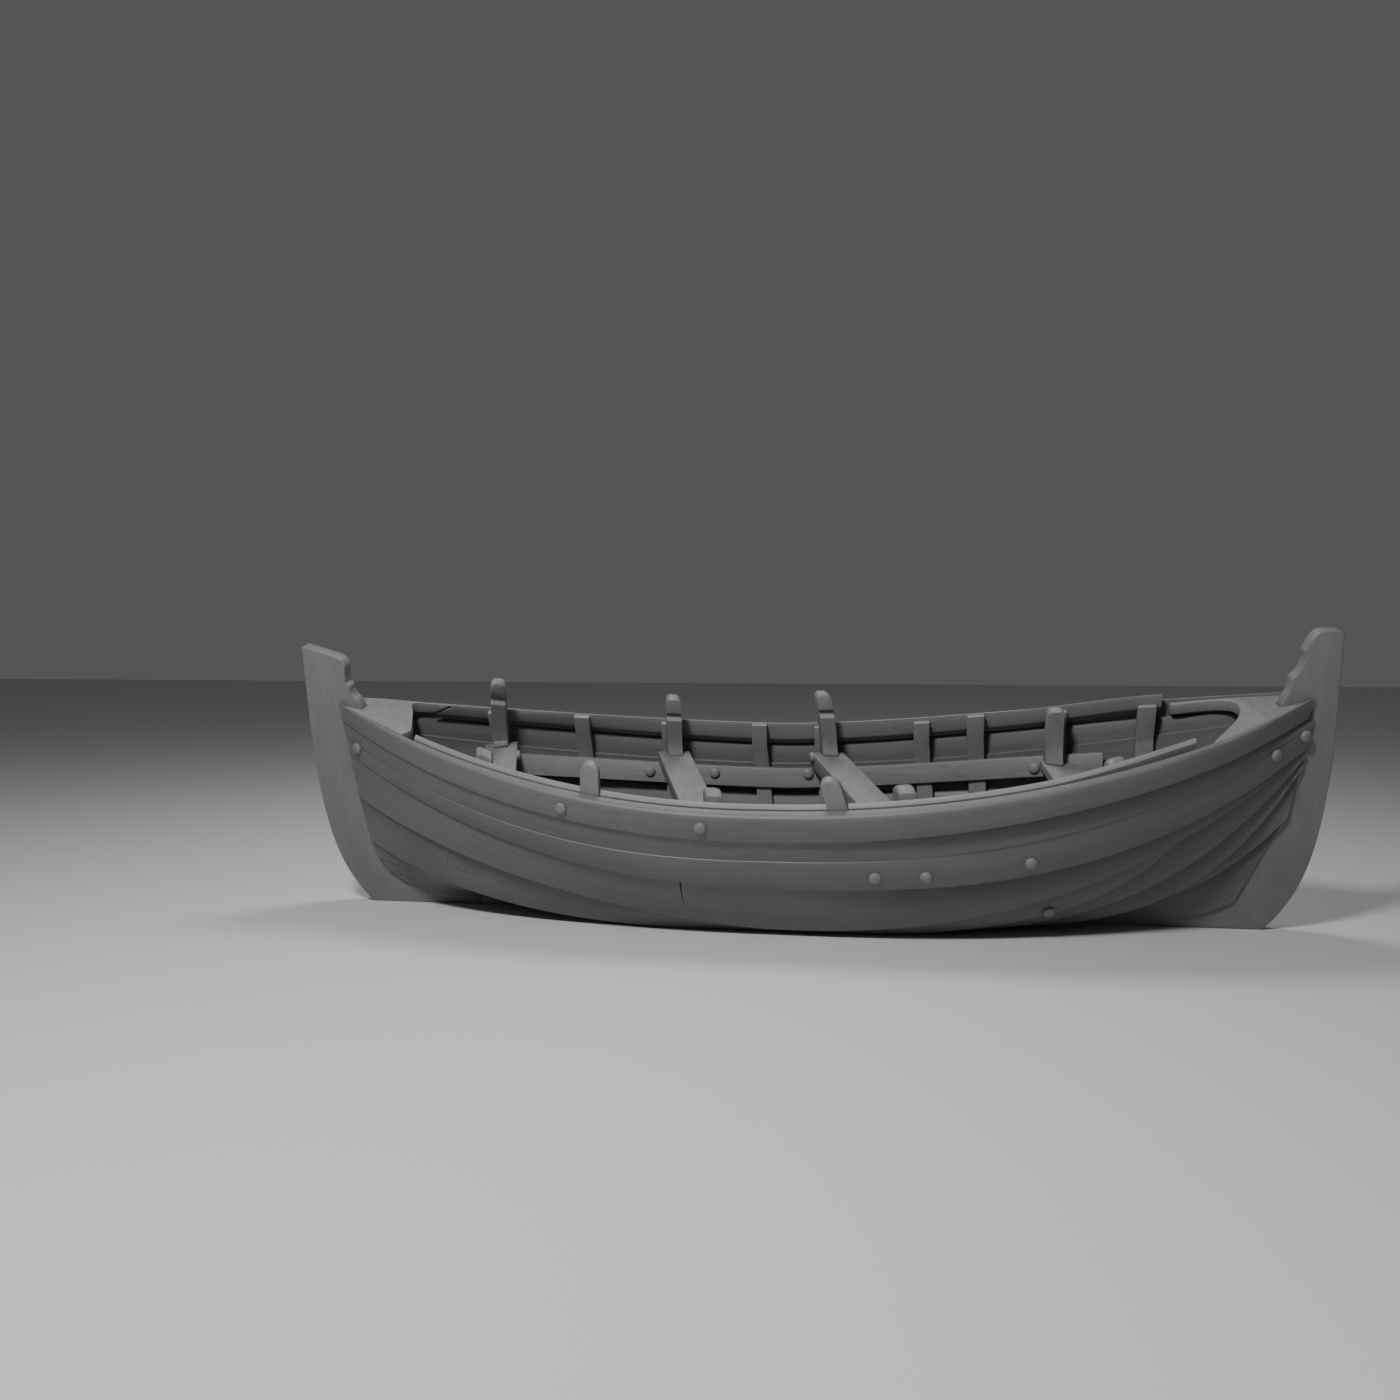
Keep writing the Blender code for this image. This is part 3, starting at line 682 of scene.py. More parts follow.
@dataclass(frozen=True)
class HullLines:
    """The run of every strake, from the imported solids' values, apart from the bow trim."""

    gap: float = 0.0006
    post_half: float = 0.042
    midship: float = -0.10
    plank: float = 0.018
    wale: float = 0.030
    wale_top: float = 0.050
    wale_rise: float = 0.015
    lap: float = 0.030
    end_thinning: float = 0.70
    end_slack: float = 0.005
    stealer: int = 4
    stealer_tip: float = 0.76
    each_way: int = 36
    trim_from: float = 0.8
    trim_run: float = 0.2
    bow_trim: tuple[float, float, float] = (0.034, 0.020, 0.0)
    edges: tuple[Edge, ...] = (
        Edge(0.718, 0.829, 1.242, 1.174, 2.80, 2.26, 1.80, 1.91),
        Edge(0.701, 0.697, 1.138, 1.071, 2.85, 2.40, 1.79, 1.86),
        Edge(0.676, 0.586, 1.097, 0.985, 2.70, 2.40, 2.14, 2.20),
        Edge(0.627, 0.430, 0.981, 0.882, 2.45, 2.24, 2.88, 1.95),
        Edge(0.519, 0.152, 0.960, 0.628, 2.70, 2.90, 2.25, 1.35),
        Edge(0.430, 0.097, 0.952, 0.372, 2.60, 2.60, 3.10, 2.90),
        Edge(0.331, 0.077, 0.940, 0.270, 2.75, 2.30, 3.95, 2.70),
        Edge(0.231, 0.067, 0.887, 0.190, 2.90, 2.20, 5.96, 2.80),
        Edge(0.135, 0.058, 0.622, 0.130, 2.16, 2.00, 5.70, 3.00),
        Edge(0.050, 0.045, 0.160, 0.090, 2.00, 2.00, 14.0, 14.0),
    )

    @staticmethod
    def rabbet_x(z: float, bow: bool) -> float:
        """Where the planking ends on the post at height z."""
        if bow:
            return 2.34 + 0.16 * z - 0.44 * math.exp(-z / 0.14)
        return -(2.33 + 0.09 * z - 0.63 * math.exp(-z / 0.10))

    @staticmethod
    def post_outer_x(z: float) -> float:
        """Outer edge of either post at height z."""
        return 2.635 - 0.255 * math.exp(-z / 0.27) - 0.03 * max(0.0, z - 0.9)

    def thickness(self, index: int, s: float, bow: bool) -> float:
        """Thickness of a strake, which thins towards the posts."""
        base = self.wale if index == 0 else self.plank
        thick = base * (1.0 - self.end_thinning * s**6)
        if index == self.stealer and bow:
            thick *= 1.0 - 0.85 * min(1.0, s / self.stealer_tip) ** 4
        return thick

    def trim(self, index: int, s: float, bow: bool) -> float:
        """How far a strake's bow end is drawn back from the post."""
        if not bow:
            return 0.0
        share = smooth_step((s - self.trim_from) / self.trim_run)
        return share * self.bow_trim[min(index, 2)]

    def end_half_breadth(self, index: int) -> float:
        """Outer face of an edge where the strakes lie against the post."""
        half = self.post_half + self.gap + self.end_slack
        half += self.thickness(max(index - 1, 0), 1.0, False)
        if index < len(self.edges) - 1:
            half += self.gap + self.thickness(max(index, 1), 1.0, False)
        return half

    def edge_point(self, index: int, s: float, bow: bool) -> Vector:
        """Point of an edge, s of the way from midships to an end."""
        edge = self.edges[index]
        end_z = edge.bow_z if bow else edge.stern_z
        full = edge.bow_full if bow else edge.stern_full
        lift = edge.bow_lift if bow else edge.stern_lift
        x = self.midship + (self.rabbet_x(end_z, bow) - self.midship) * s
        y = edge.mid_y * (1.0 - s**full) + self.end_half_breadth(index) * s
        z = edge.mid_z + (end_z - edge.mid_z) * s**lift
        return Vector((x, y, z))

    @staticmethod
    def run_and_normal(start: Vector, end: Vector) -> tuple[Vector, Vector]:
        """Direction down a plank, per metre of its section, and its outward normal."""
        step = end - start
        run = step / math.hypot(step.y, step.z)
        return run, Vector((0.0, -run.z, run.y))

    def sections(self, s: float, bow: bool) -> list[Section | None]:
        """Section of every strake at one station, None where a strake is absent."""
        points = [self.edge_point(i, s, bow) for i in range(len(self.edges))]
        past_tip = bow and s > self.stealer_tip + 1e-6
        found: list[Section | None] = []
        upper: Section | None = None
        upper_thick = upper_width = 0.0
        seat = points[0]
        for index in range(len(self.edges) - 1):
            if index == self.stealer and past_tip:
                found.append(None)
                continue
            thick = self.thickness(index, s, bow)
            foot = points[index + 1].copy()
            if upper is None:
                bend = head = points[0]
            else:
                bend = seat - upper.normal * (upper_thick + self.gap)
                head = bend - upper.run * min(self.lap, 0.8 * upper_width)
            if index == self.stealer and bow:
                pinch = min(1.0, s / self.stealer_tip) ** 9
                along, _ = self.run_and_normal(bend, points[index + 2])
                foot = foot.lerp(bend + along * 0.004, pinch)
            run, normal = self.run_and_normal(bend, foot)
            if index == len(self.edges) - 2:
                for _ in range(12):
                    foot.y = self.post_half + 1.2 * self.gap + thick * normal.y
                    run, normal = self.run_and_normal(bend, foot)
            inner_foot = foot - normal * thick
            if upper is None:
                top_thick = thick + (self.wale_top - self.wale) * (1.0 - s**6)
                inner_bend = bend - normal * top_thick
                inner_head = inner_bend - run * self.wale_rise * (1.0 - s**4)
            else:
                miter = (upper.normal + normal) / (1.0 + upper.normal.dot(normal))
                inner_bend = bend - miter * thick
                inner_head = head - upper.normal * thick
            section = Section(
                head,
                bend,
                foot,
                inner_foot,
                inner_bend,
                inner_head,
                inner_foot - run * self.lap,
                run,
                normal,
            )
            found.append(section)
            upper, upper_thick = section, thick
            upper_width = math.hypot(foot.y - bend.y, foot.z - bend.z)
            seat = points[self.stealer] if index + 1 == self.stealer and past_tip else foot
        return found

    def stations(self) -> list[tuple[float, bool]]:
        """Stations from the stern post to the bow post, closer towards the ends."""
        half = []
        for i in range(self.each_way + 1):
            share = i / self.each_way
            half.append(0.6 * share + 0.4 * math.sin(share * math.pi / 2))
        nearest = min(range(len(half)), key=lambda i: abs(half[i] - self.stealer_tip))
        half[nearest] = self.stealer_tip
        return [(s, False) for s in reversed(half)] + [(s, True) for s in half[1:]]


# Sub-assemblies


@dataclass
class Workshop:
    """What every sub-assembly needs at hand."""

    nodes: dict[str, bpy.types.Object]
    axes: BoatAxes
    lines: HullLines
    finishes: Finishes

    def finish_piece(
        self, piece: bpy.types.Object, slot: Slot, way: GrainWay, replaced: Sequence[str] = ()
    ) -> bpy.types.Object:
        """Shade, dress and register a piece that lies in the frame's axes.

        Args:
            piece: The finished mesh.
            slot: Material slot of the record.
            way: Which way its fibres run.
            replaced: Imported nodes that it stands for.

        Returns:
            The same piece.
        """
        shade(piece)
        piece.data.materials.clear()
        piece.data.materials.append(self.finishes.material(slot, way))
        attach(piece, BODY)
        if replaced:
            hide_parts(*replaced)
        return piece

    def copy_of(self, node: str, name: str) -> bpy.types.Object:
        """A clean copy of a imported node, joined and with its flat faces whole.

        Args:
            node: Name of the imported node.
            name: Name of the copy.

        Returns:
            The copy, in the frame's axes.
        """
        piece = bpy.data.objects.new(name, self.nodes[node].data.copy())
        piece.data.name = name
        bpy.context.scene.collection.objects.link(piece)
        make_active(piece)
        if piece.data.has_custom_normals:
            bpy.ops.mesh.customdata_custom_splitnormals_clear()
        bpy.ops.object.mode_set(mode="EDIT")
        bpy.ops.mesh.select_all(action="SELECT")
        bpy.ops.mesh.remove_doubles(threshold=0.00004)
        bpy.ops.mesh.dissolve_limited(angle_limit=math.radians(0.6))
        bpy.ops.object.mode_set(mode="OBJECT")
        return piece


@dataclass
class Planking:
    """The nine strakes of each side.

    A run is a share of the way from midships to the post, over which something changes. Where
    it has two values, they are its start and its length.
    """

    shop: Workshop
    wale_crown: float = 0.026
    lower_edge: float = 0.004
    lip: float = 0.009
    lip_rise: float = 0.005
    feather: float = 0.80
    bow_hollow: float = 0.007
    bow_proud: float = 0.009
    bow_run: float = 0.5
    wobble: float = 0.0010
    tuck_gap: float = 0.0025
    flush_gap: float = 0.0004
    flush_share: float = 0.97
    seat_from: float = 0.95
    ledge_clear: float = 0.002
    head_feather: float = 0.9
    middle_at: float = 0.42
    tip_margin: float = 0.02
    deep_tuck: float = 0.90
    stealer_run: tuple[float, float] = (0.35, 0.35)
    stern_run: tuple[float, float] = (0.45, 0.30)
    tip_run: float = 0.05
    plain_tucks: tuple[tuple[int, float], ...] = ((1, 0.62), (3, 0.68))
    # Painted shade under each strake's lap: how far it reaches from midships, its share halfway down
    # the face, and its strength towards bow and stern.
    grime_reach: float = 0.40
    grime_middle: float = 0.35
    bow_grime: tuple[float, ...] = (0.0, 0.85, 0.0, 0.80, 0.45, 0.70, 0.75, 0.80, 0.80)
    stern_grime: tuple[float, ...] = (0.0, 0.20, 0.0, 0.20, 0.40, 0.45, 0.10, 0.10, 0.25)
    names: tuple[str, ...] = (
        "wale",
        *(f"strake_{number}" for number in (2, 3, 4)),
        "strake_5_stealer",
        *(f"strake_{number}" for number in (6, 7, 8)),
        "garboard",
    )

    def build(self) -> list[bpy.types.Object]:
        """Shape every strake on both sides."""
        lines = self.shop.lines
        sections = [(s, bow, lines.sections(s, bow)) for s, bow in lines.stations()]
        pieces = []
        for index, name in enumerate(self.names):
            for side in Side:
                rings = [
                    self._ring(index, s, bow, found[index], side)
                    for s, bow, found in sections
                    if found[index] is not None
                ]
                grime = [
                    self._grime(index, s, bow, len(rings[0]))
                    for s, bow, found in sections
                    if found[index] is not None
                ]
                piece = shaped_tube(f"{name}_{side.label}_plank", rings, grime)
                self.shop.axes.lay(piece)
                node = f"{name}_{side.label}"
                self.shop.finish_piece(piece, Slot.PLANKING, GrainWay.ALONG_SURFACE, [node])
                pieces.append(piece)
        return pieces

    def _ring(self, index: int, s: float, bow: bool, cut: Section, side: Side) -> Ring:
        """Eased section of a strake, with its corners a little uneven, on one side."""
        lines = self.shop.lines
        foot = cut.foot + self._unevenness(index, cut, side)
        fade = 1.0 - s**8
        past_tip = bow and s > lines.stealer_tip - self.tip_margin
        if index == 0:
            corners = [
                (cut.bend, self.wale_crown, 6),
                (foot, self.lower_edge, 2),
                (cut.inner_foot, 0.002, 1),
                (cut.lap_line, 0.0, 0),
                (cut.inner_bend, 0.0, 0),
                (cut.inner_head, 0.006, 3),
            ]
        elif index == 2:
            out = cut.normal * self.lip * fade
            shoulder = cut.head.lerp(cut.bend, 1.0 - self.lip_rise / lines.lap)
            corners = [
                (cut.head, 0.0, 0),
                (shoulder, 0.0, 0),
                (cut.bend + out, 0.003, 2),
                (foot + out * 0.5, self.lower_edge, 2),
                *self._inner_face(s, cut, 0.0),
            ]
        else:
            if index == 1:
                foot = foot.lerp(cut.inner_foot, self.feather * fade)
            shoulder = self._shoulder(index, s, bow, cut)
            if index == lines.stealer and bow:
                foot = foot + (shoulder - cut.bend)
            flush = index == lines.stealer - 1 and past_tip
            if bow and not flush and index != lines.stealer:
                foot = foot + cut.normal * self.bow_proud * smooth_step(s / self.bow_run)
            corners = [
                (cut.head, 0.0, 0),
                (cut.bend, 0.0, 0),
                (shoulder, 0.0, 0),
                (shoulder.lerp(foot, self.middle_at), 0.0, 0),
                (foot, self.flush_gap if flush else self.lower_edge, 2),
                *self._inner_face(s, cut, self.head_feather),
            ]
        trim = lines.trim(index, s, bow)
        ring = rounded_ring(corners)
        return [Vector((p.x - trim, p.y * side.value, p.z)) for p in ring]

    def _inner_face(self, s: float, cut: Section, feather: float) -> list[Corner]:
        """Inner corners of a strake, which close on the post where it ends.

        Args:
            s: Share of the way from midships to the post.
            cut: The strake's section.
            feather: Share of the head's thickness that is planed away.

        Returns:
            The corners from the inner foot up to the inner head.
        """
        lines = self.shop.lines
        share = smooth_step((s - self.seat_from) / (1.0 - self.seat_from))
        beside = lines.post_half + lines.gap
        step = cut.inner_bend - cut.inner_foot
        width = math.hypot(step.y, step.z)
        lap = min(lines.lap, 0.8 * width)
        ledge = cut.inner_foot + step * (lap / width)
        above = cut.inner_foot + step * min(0.98, (lap + self.ledge_clear) / width)
        bend = cut.inner_bend.copy()
        head = cut.inner_head.lerp(cut.head, feather * (1.0 - share))
        for point in (above, bend, head):
            point.y += (beside - point.y) * share
        return [
            (cut.inner_foot, 0.002, 1),
            (ledge, 0.0, 0),
            (above, 0.0, 0),
            (bend, 0.0, 0),
            (head, 0.001, 1),
        ]

    def _grime(self, index: int, s: float, bow: bool, count: int) -> list[float]:
        """Painted shade at each point of a strake's eased section, where shade falls under the laps.

        Args:
            index: Number of the strake, from the wale down.
            s: Share of the way from midships to the post.
            bow: True on the bow's half.
            count: How many points the section has.

        Returns:
            A value for each point. The wale and the strake with the lip get no painted shade.
        """
        if index in (0, 2):
            return [0.0] * count
        strength = self.bow_grime if bow else self.stern_grime
        share = strength[index] * smooth_step(s / self.grime_reach)
        # Painted shade: dark just under the lap above, fading down the outer face, and a dark line
        # along the inner head where the lap shades it.
        outside = [share, share, share, self.grime_middle * share]
        inner_head = [1.0, 1.0]
        unshaded = count - len(outside) - len(inner_head)
        return outside + [0.0] * unshaded + inner_head

    def _shoulder(self, index: int, s: float, bow: bool, cut: Section) -> Vector:
        """Top of a strake's outer face, thickened out under the lap above it."""
        lines = self.shop.lines
        run = (cut.bend - cut.head).normalized()
        out = Vector((0.0, -run.z, run.y))
        after_tip = index == lines.stealer + 1 and bow and s > lines.stealer_tip
        overhang = lines.thickness(index - 2 if after_tip else index - 1, s, bow)
        share = self._tuck(index, s, bow)
        clear = self.flush_gap if share > 0.9 else self.tuck_gap
        depth = overhang * share
        if bow and index != lines.stealer and not after_tip:
            depth -= self.bow_hollow * smooth_step(s / self.bow_run)
        return cut.bend + out * depth + run * clear

    def _tuck(self, index: int, s: float, bow: bool) -> float:
        """Share of the lap above a strake that its thickened top takes up."""
        lines = self.shop.lines
        plain = dict(self.plain_tucks)
        if index in plain:
            share = plain[index]
            return share * (1.0 - smooth_step(s / self.bow_run)) if bow else share
        if index == lines.stealer and bow:
            start, length = self.stealer_run
            return self.deep_tuck * smooth_step((s - start) / length)
        if index == lines.stealer + 1 and bow:
            return self.flush_share * smooth_step((s - lines.stealer_tip) / self.tip_run)
        if index > lines.stealer + 1 and not bow:
            start, length = self.stern_run
            return self.deep_tuck * smooth_step((s - start) / length)
        return 0.0

    def _unevenness(self, index: int, cut: Section, side: Side) -> Vector:
        """Small hand-worked departures of a lower edge."""
        place = Vector((cut.foot.x * 1.9, index * 3.7, side.value * 5.3))
        down = noise.noise(place) * self.wobble
        out = noise.noise(place * 1.7) * self.wobble * 0.6
        return cut.run * down + cut.normal * out


@dataclass
class Backbone:
    """Keel and the two tall posts."""

    shop: Workshop
    keel_end: float = 1.75
    keel_top: float = 0.062
    edge: float = 0.008
    outer_steps: int = 44
    inner_steps: int = 24
    inner_top: float = 1.13
    inner_low: float = 0.085
    post_rounding: tuple[int, float] = (3, 50.0)

    def build(self) -> list[bpy.types.Object]:
        """Shape the posts and ease the keel."""
        bow_head = (
            (2.612, 1.566, 0.040),
            (2.500, 1.567, 0.034),
            (2.468, 1.520, 0.012),
            (2.445, 1.467, 0.006),
            (2.451, 1.424, 0.012),
            (2.436, 1.375, 0.008),
            (2.417, 1.348, 0.006),
            (2.399, 1.330, 0.010),
            (2.397, 1.278, 0.020),
            (2.366, 1.207, 0.020),
        )
        stern_head = (
            (2.614, 1.482, 0.010),
            (2.405, 1.415, 0.040),
            (2.385, 1.376, 0.014),
            (2.393, 1.321, 0.010),
            (2.393, 1.278, 0.006),
            (2.376, 1.260, 0.006),
            (2.375, 1.232, 0.010),
            (2.364, 1.203, 0.020),
            (2.338, 1.180, 0.020),
        )
        return [
            self._post("bow_post", True, bow_head, 1.53, 0.16),
            self._post("stern_post", False, stern_head, 1.47, 0.11),
            self._keel(),
        ]

    def _post(
        self,
        name: str,
        bow: bool,
        head: Sequence[tuple[float, float, float]],
        top_z: float,
        inset: float,
    ) -> bpy.types.Object:
        """One post, from its curved outer edge and the carved steps of its head.

        Args:
            name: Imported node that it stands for.
            bow: True for the bow post.
            head: Corners of the head as x, z and how far each is eased.
            top_z: Height at which the head's corners start.
            inset: How far the inner edge lies inside the planking's end.

        Returns:
            The post.
        """
        lines = self.shop.lines
        start = self.keel_end + lines.gap
        corners: list[Corner] = [(Vector((start, 0.0, 0.0)), 0.0, 0)]
        for i in range(self.outer_steps):
            z = top_z * (i / (self.outer_steps - 1)) ** 1.5
            corners.append((Vector((lines.post_outer_x(z), 0.0, z)), 0.0, 0))
        corners += [(Vector((x, 0.0, z)), ease, 4) for x, z, ease in head]
        for i in range(self.inner_steps):
            share = (i / (self.inner_steps - 1)) ** 0.8
            z = self.inner_top - (self.inner_top - self.inner_low) * share
            corners.append((Vector((abs(lines.rabbet_x(z, bow)) - inset, 0.0, z)), 0.0, 0))
        corners.append((Vector((start, 0.0, self.keel_top)), 0.0, 0))
        outline = rounded_ring(corners)
        sign = 1.0 if bow else -1.0
        rings = []
        for y in (-lines.post_half, lines.post_half):
            rings.append([Vector((p.x * sign, y, p.z)) for p in outline])
        piece = shaped_tube(f"{name}_timber", rings)
        soften_edges(piece, self.edge, *self.post_rounding)
        self.shop.axes.lay(piece)
        return self.shop.finish_piece(piece, Slot.BACKBONE, GrainWay.UPRIGHT, [name])

    def _keel(self) -> bpy.types.Object:
        """The straight keel with eased corners."""
        piece = self.shop.copy_of("keel", "keel_timber")
        soften_edges(piece, 0.004, 2)
        return self.shop.finish_piece(piece, Slot.BACKBONE, GrainWay.FORE_AND_AFT, ["keel"])


@dataclass(frozen=True)
class CrookShape:
    """Plan of one breasthook, in the boat's axes.

    The plane of its top is set by tip_x and end_x, and its throat runs from the starboard
    arm to the port arm. The starboard arm stands proud of that plane and is sprung off the
    wale, and the port side is raised. From fold_x on, the port arm's underside is cut back
    by the scarf.
    """

    name: str
    tip_x: float
    end_x: float
    reach_x: float
    arms: tuple[float, float]
    sprung: float
    proud: float
    raised: float
    fold_x: float
    scarf: float
    throat: tuple[tuple[float, float], ...]


BOW_CROOK = CrookShape(
    name="breasthook_bow",
    tip_x=1.95,
    end_x=2.356,
    reach_x=2.49,
    arms=(1.935, 1.980),
    sprung=0.0,
    proud=0.0,
    raised=0.0,
    fold_x=2.2,
    scarf=0.0,
    throat=(
        (1.985, -0.335),
        (2.003, -0.303),
        (2.029, -0.258),
        (2.082, -0.186),
        (2.140, -0.099),
        (2.178, -0.021),
        (2.201, 0.054),
        (2.207, 0.130),
        (2.193, 0.190),
        (2.160, 0.232),
        (2.105, 0.270),
        (2.042, 0.298),
        (1.975, 0.322),
        (1.940, 0.338),
    ),
)
STERN_CROOK = CrookShape(
    name="breasthook_stern",
    tip_x=-1.97,
    end_x=-2.315,
    reach_x=-2.395,
    arms=(-1.934, -2.022),
    sprung=0.015,
    proud=0.012,
    raised=0.020,
    fold_x=-2.110,
    scarf=0.095,
    throat=(
        (-1.999, -0.184),
        (-2.009, -0.138),
        (-2.047, -0.024),
        (-2.085, 0.090),
        (-2.108, 0.142),
        (-2.116, 0.170),
        (-2.112, 0.191),
        (-2.098, 0.209),
        (-2.072, 0.225),
        (-2.030, 0.246),
        (-1.985, 0.268),
        (-1.940, 0.290),
    ),
)


@dataclass
class Gunwales:
    """Inwales, thole plates and breasthooks, which lie against the wales."""

    shop: Workshop
    rail_steps: int = 60
    inwale_thick: float = 0.052
    inwale_rise: float = 0.014
    inwale_slant: float = 0.034
    slot: float = 0.018
    spring_up: tuple[float, float] = (0.034, 0.017)
    spring_in: float = 0.012
    spring_from: float = 1.15
    spring_run: float = 0.70
    scarf: float = 0.095
    scarf_steps: float = 4.0
    hook_deep: float = 0.055
    hook_clear: float = 0.0011
    hook_drop: float = 0.006
    hook_plane: float = 0.004
    hook_blend: float = 0.15
    hook_edge: float = 0.004
    port_steps: int = 20
    starboard_steps: int = 40
    ragged: float = 0.7
    ragged_place: tuple[float, float, float] = (36.0, 1.5, 20.0)
    thole_edge: float = 0.006
    thole_steps: int = 20
    thole_high: float = 0.16
    thole_wide: float = 0.097
    thole_thick: float = 0.045
    thole_seat: float = 0.003
    thole_sunk: float = 0.012
    thole_shoulder: float = 0.108
    thole_crown: float = 0.044
    wale_top: list[Vector] = field(default_factory=list)
    wale_foot: list[Vector] = field(default_factory=list)
    wale_crest: list[Vector] = field(default_factory=list)

    def __post_init__(self) -> None:
        """Find the wale's inner face."""
        lines = self.shop.lines
        for s, bow in lines.stations():
            wale = lines.sections(s, bow)[0]
            back = Vector((lines.trim(0, s, bow), 0.0, 0.0))
            self.wale_top.append(wale.inner_bend - back)
            self.wale_foot.append(wale.lap_line - back)
            self.wale_crest.append(wale.inner_head - back)

    def build(self) -> list[bpy.types.Object]:
        """Shape all the pieces along the sheer."""
        return [
            self._inwale(Side.PORT, -1.928, 1.89, self.scarf),
            self._inwale(Side.STARBOARD, -1.94, 1.91, 0.0),
            self._breasthook(BOW_CROOK),
            self._breasthook(STERN_CROOK),
            self._thole("thole_plate_aft", -0.945, 0.0),
            self._thole("thole_plate_fore", 0.26, -0.05),
        ]

    def _inner(self, x: float, drop: float) -> Vector:
        """Point on the wale's inner face, drop below the sheer."""
        top, foot = at_x(self.wale_top, x), at_x(self.wale_foot, x)
        return top.lerp(foot, drop / (top.z - foot.z))

    def _inwale(self, side: Side, start: float, end: float, scarf: float) -> bpy.types.Object:
        """One inwale, springing up towards the bow.

        Args:
            side: The side it lies on.
            start: Its stern end at the wale.
            end: Its squared bow end.
            scarf: How much further its lower edge reaches at the stern end.

        Returns:
            The inwale.
        """
        gap = self.shop.lines.gap
        spring_up = self.spring_up[0 if side is Side.PORT else 1]
        slot = Vector((0.0, -self.slot, 0.0))
        inward = Vector((0.0, -self.inwale_thick, 0.0))
        slant = Vector((0.0, 0.0, self.inwale_slant))
        rise = Vector((0.0, 0.0, self.inwale_rise))
        rings = []
        for i in range(self.rail_steps + 1):
            x = start + (end - start) * i / self.rail_steps
            low_x = x - scarf * max(0.0, 1.0 - i / self.scarf_steps)
            sprung = smooth_step((x - self.spring_from) / self.spring_run)
            clear = Vector((0.0, -gap - self.spring_in * sprung, gap + spring_up * sprung))
            ring = rounded_ring(
                [
                    (at_x(self.wale_crest, x) + clear + slot, 0.006, 3),
                    (at_x(self.wale_top, x) + clear + slot, 0.0, 0),
                    (at_x(self.wale_foot, low_x) + clear + slot, 0.002, 1),
                    (at_x(self.wale_foot, low_x) + clear + inward + slant, 0.010, 3),
                    (at_x(self.wale_top, x) + clear + inward, 0.0, 0),
                    (at_x(self.wale_crest, x) + clear + inward + rise, 0.005, 3),
                ]
            )
            rings.append([Vector((p.x, p.y * side.value, p.z)) for p in ring])
        piece = shaped_tube(f"inwale_{side.label}_rail", rings)
        self.shop.axes.lay(piece)
        node = f"inwale_{side.label}"
        return self.shop.finish_piece(piece, Slot.FITTINGS, GrainWay.ALONG_SURFACE, [node])

    def _breasthook(self, shape: CrookShape) -> bpy.types.Object:
        """A flat crook between the wales, notched round the post.

        Args:
            shape: Its plan and how its near arm has moved.

        Returns:
            The breasthook.
        """
        tip, end = (self._inner(x, self.hook_plane) for x in (shape.tip_x, shape.end_x))
        slope = (end.z - tip.z) / (end.x - tip.x)
        port_tip, starboard_tip = shape.arms

        def top_z(x: float, y: float) -> float:
            lifted = shape.proud * smooth_step(-y / self.hook_blend)
            lifted += shape.raised * smooth_step(y / self.hook_blend)
            return tip.z + slope * (x - tip.x) - self.hook_drop + lifted

        def skin_y(x: float, z: float) -> float:
            top, foot = at_x(self.wale_top, x), at_x(self.wale_foot, x)
            share = (top.z - z) / (top.z - foot.z)
            return top.y + (foot.y - top.y) * share - self.hook_clear

        def shortened(x: float, level: float) -> float:
            arm = port_tip - shape.fold_x
            if level == 0.0 or (x - shape.fold_x) * arm <= 0.0:
                return x
            return shape.fold_x + (x - shape.fold_x) * (1.0 - shape.scarf / abs(arm))

        beside = self.shop.lines.post_half + self.hook_clear
        ends = (shape.reach_x, shape.end_x, shape.end_x, shape.reach_x)
        notch = list(zip(ends, (beside, beside, -beside, -beside)))
        throat = smooth_path(shape.throat, 4)
        rings = []
        for level in (0.0, self.hook_deep):
            ring = []
            for i in range(self.port_steps + 1):
                x = port_tip + (shape.reach_x - port_tip) * i / self.port_steps
                x = shortened(x, level)
                y = skin_y(x, top_z(x, 0.0) - level)
                y = skin_y(x, top_z(x, y) - level)
                ring.append(Vector((x, y, top_z(x, y) - level)))
            ring += [Vector((x, y, top_z(x, y) - level)) for x, y in notch]
            for i in range(self.starboard_steps + 1):
                x = shape.reach_x + (starboard_tip - shape.reach_x) * i / self.starboard_steps
                z = top_z(x, 0.0) - level
                reach = smooth_step(i / self.starboard_steps)
                along, across, down = self.ragged_place
                spot = Vector((x * along, across, level * down))
                ragged = 1.0 + self.ragged * noise.noise(spot)
                y = skin_y(x, z) - shape.sprung * reach * ragged
                ring.append(Vector((x, -y, top_z(x, -y) - level)))
            for x, y in throat:
                place = shortened(x, level) if y > 0.0 else x
                z = top_z(place, y) - level
                y += skin_y(place, z) - skin_y(x, z)
                ring.append(Vector((place, y, z)))
            rings.append(ring)
        piece = shaped_tube(f"{shape.name}_crook", rings)
        soften_edges(piece, self.hook_edge, 2, 50.0)
        self.shop.axes.lay(piece)
        return self.shop.finish_piece(piece, Slot.FITTINGS, GrainWay.ATHWART, [shape.name])

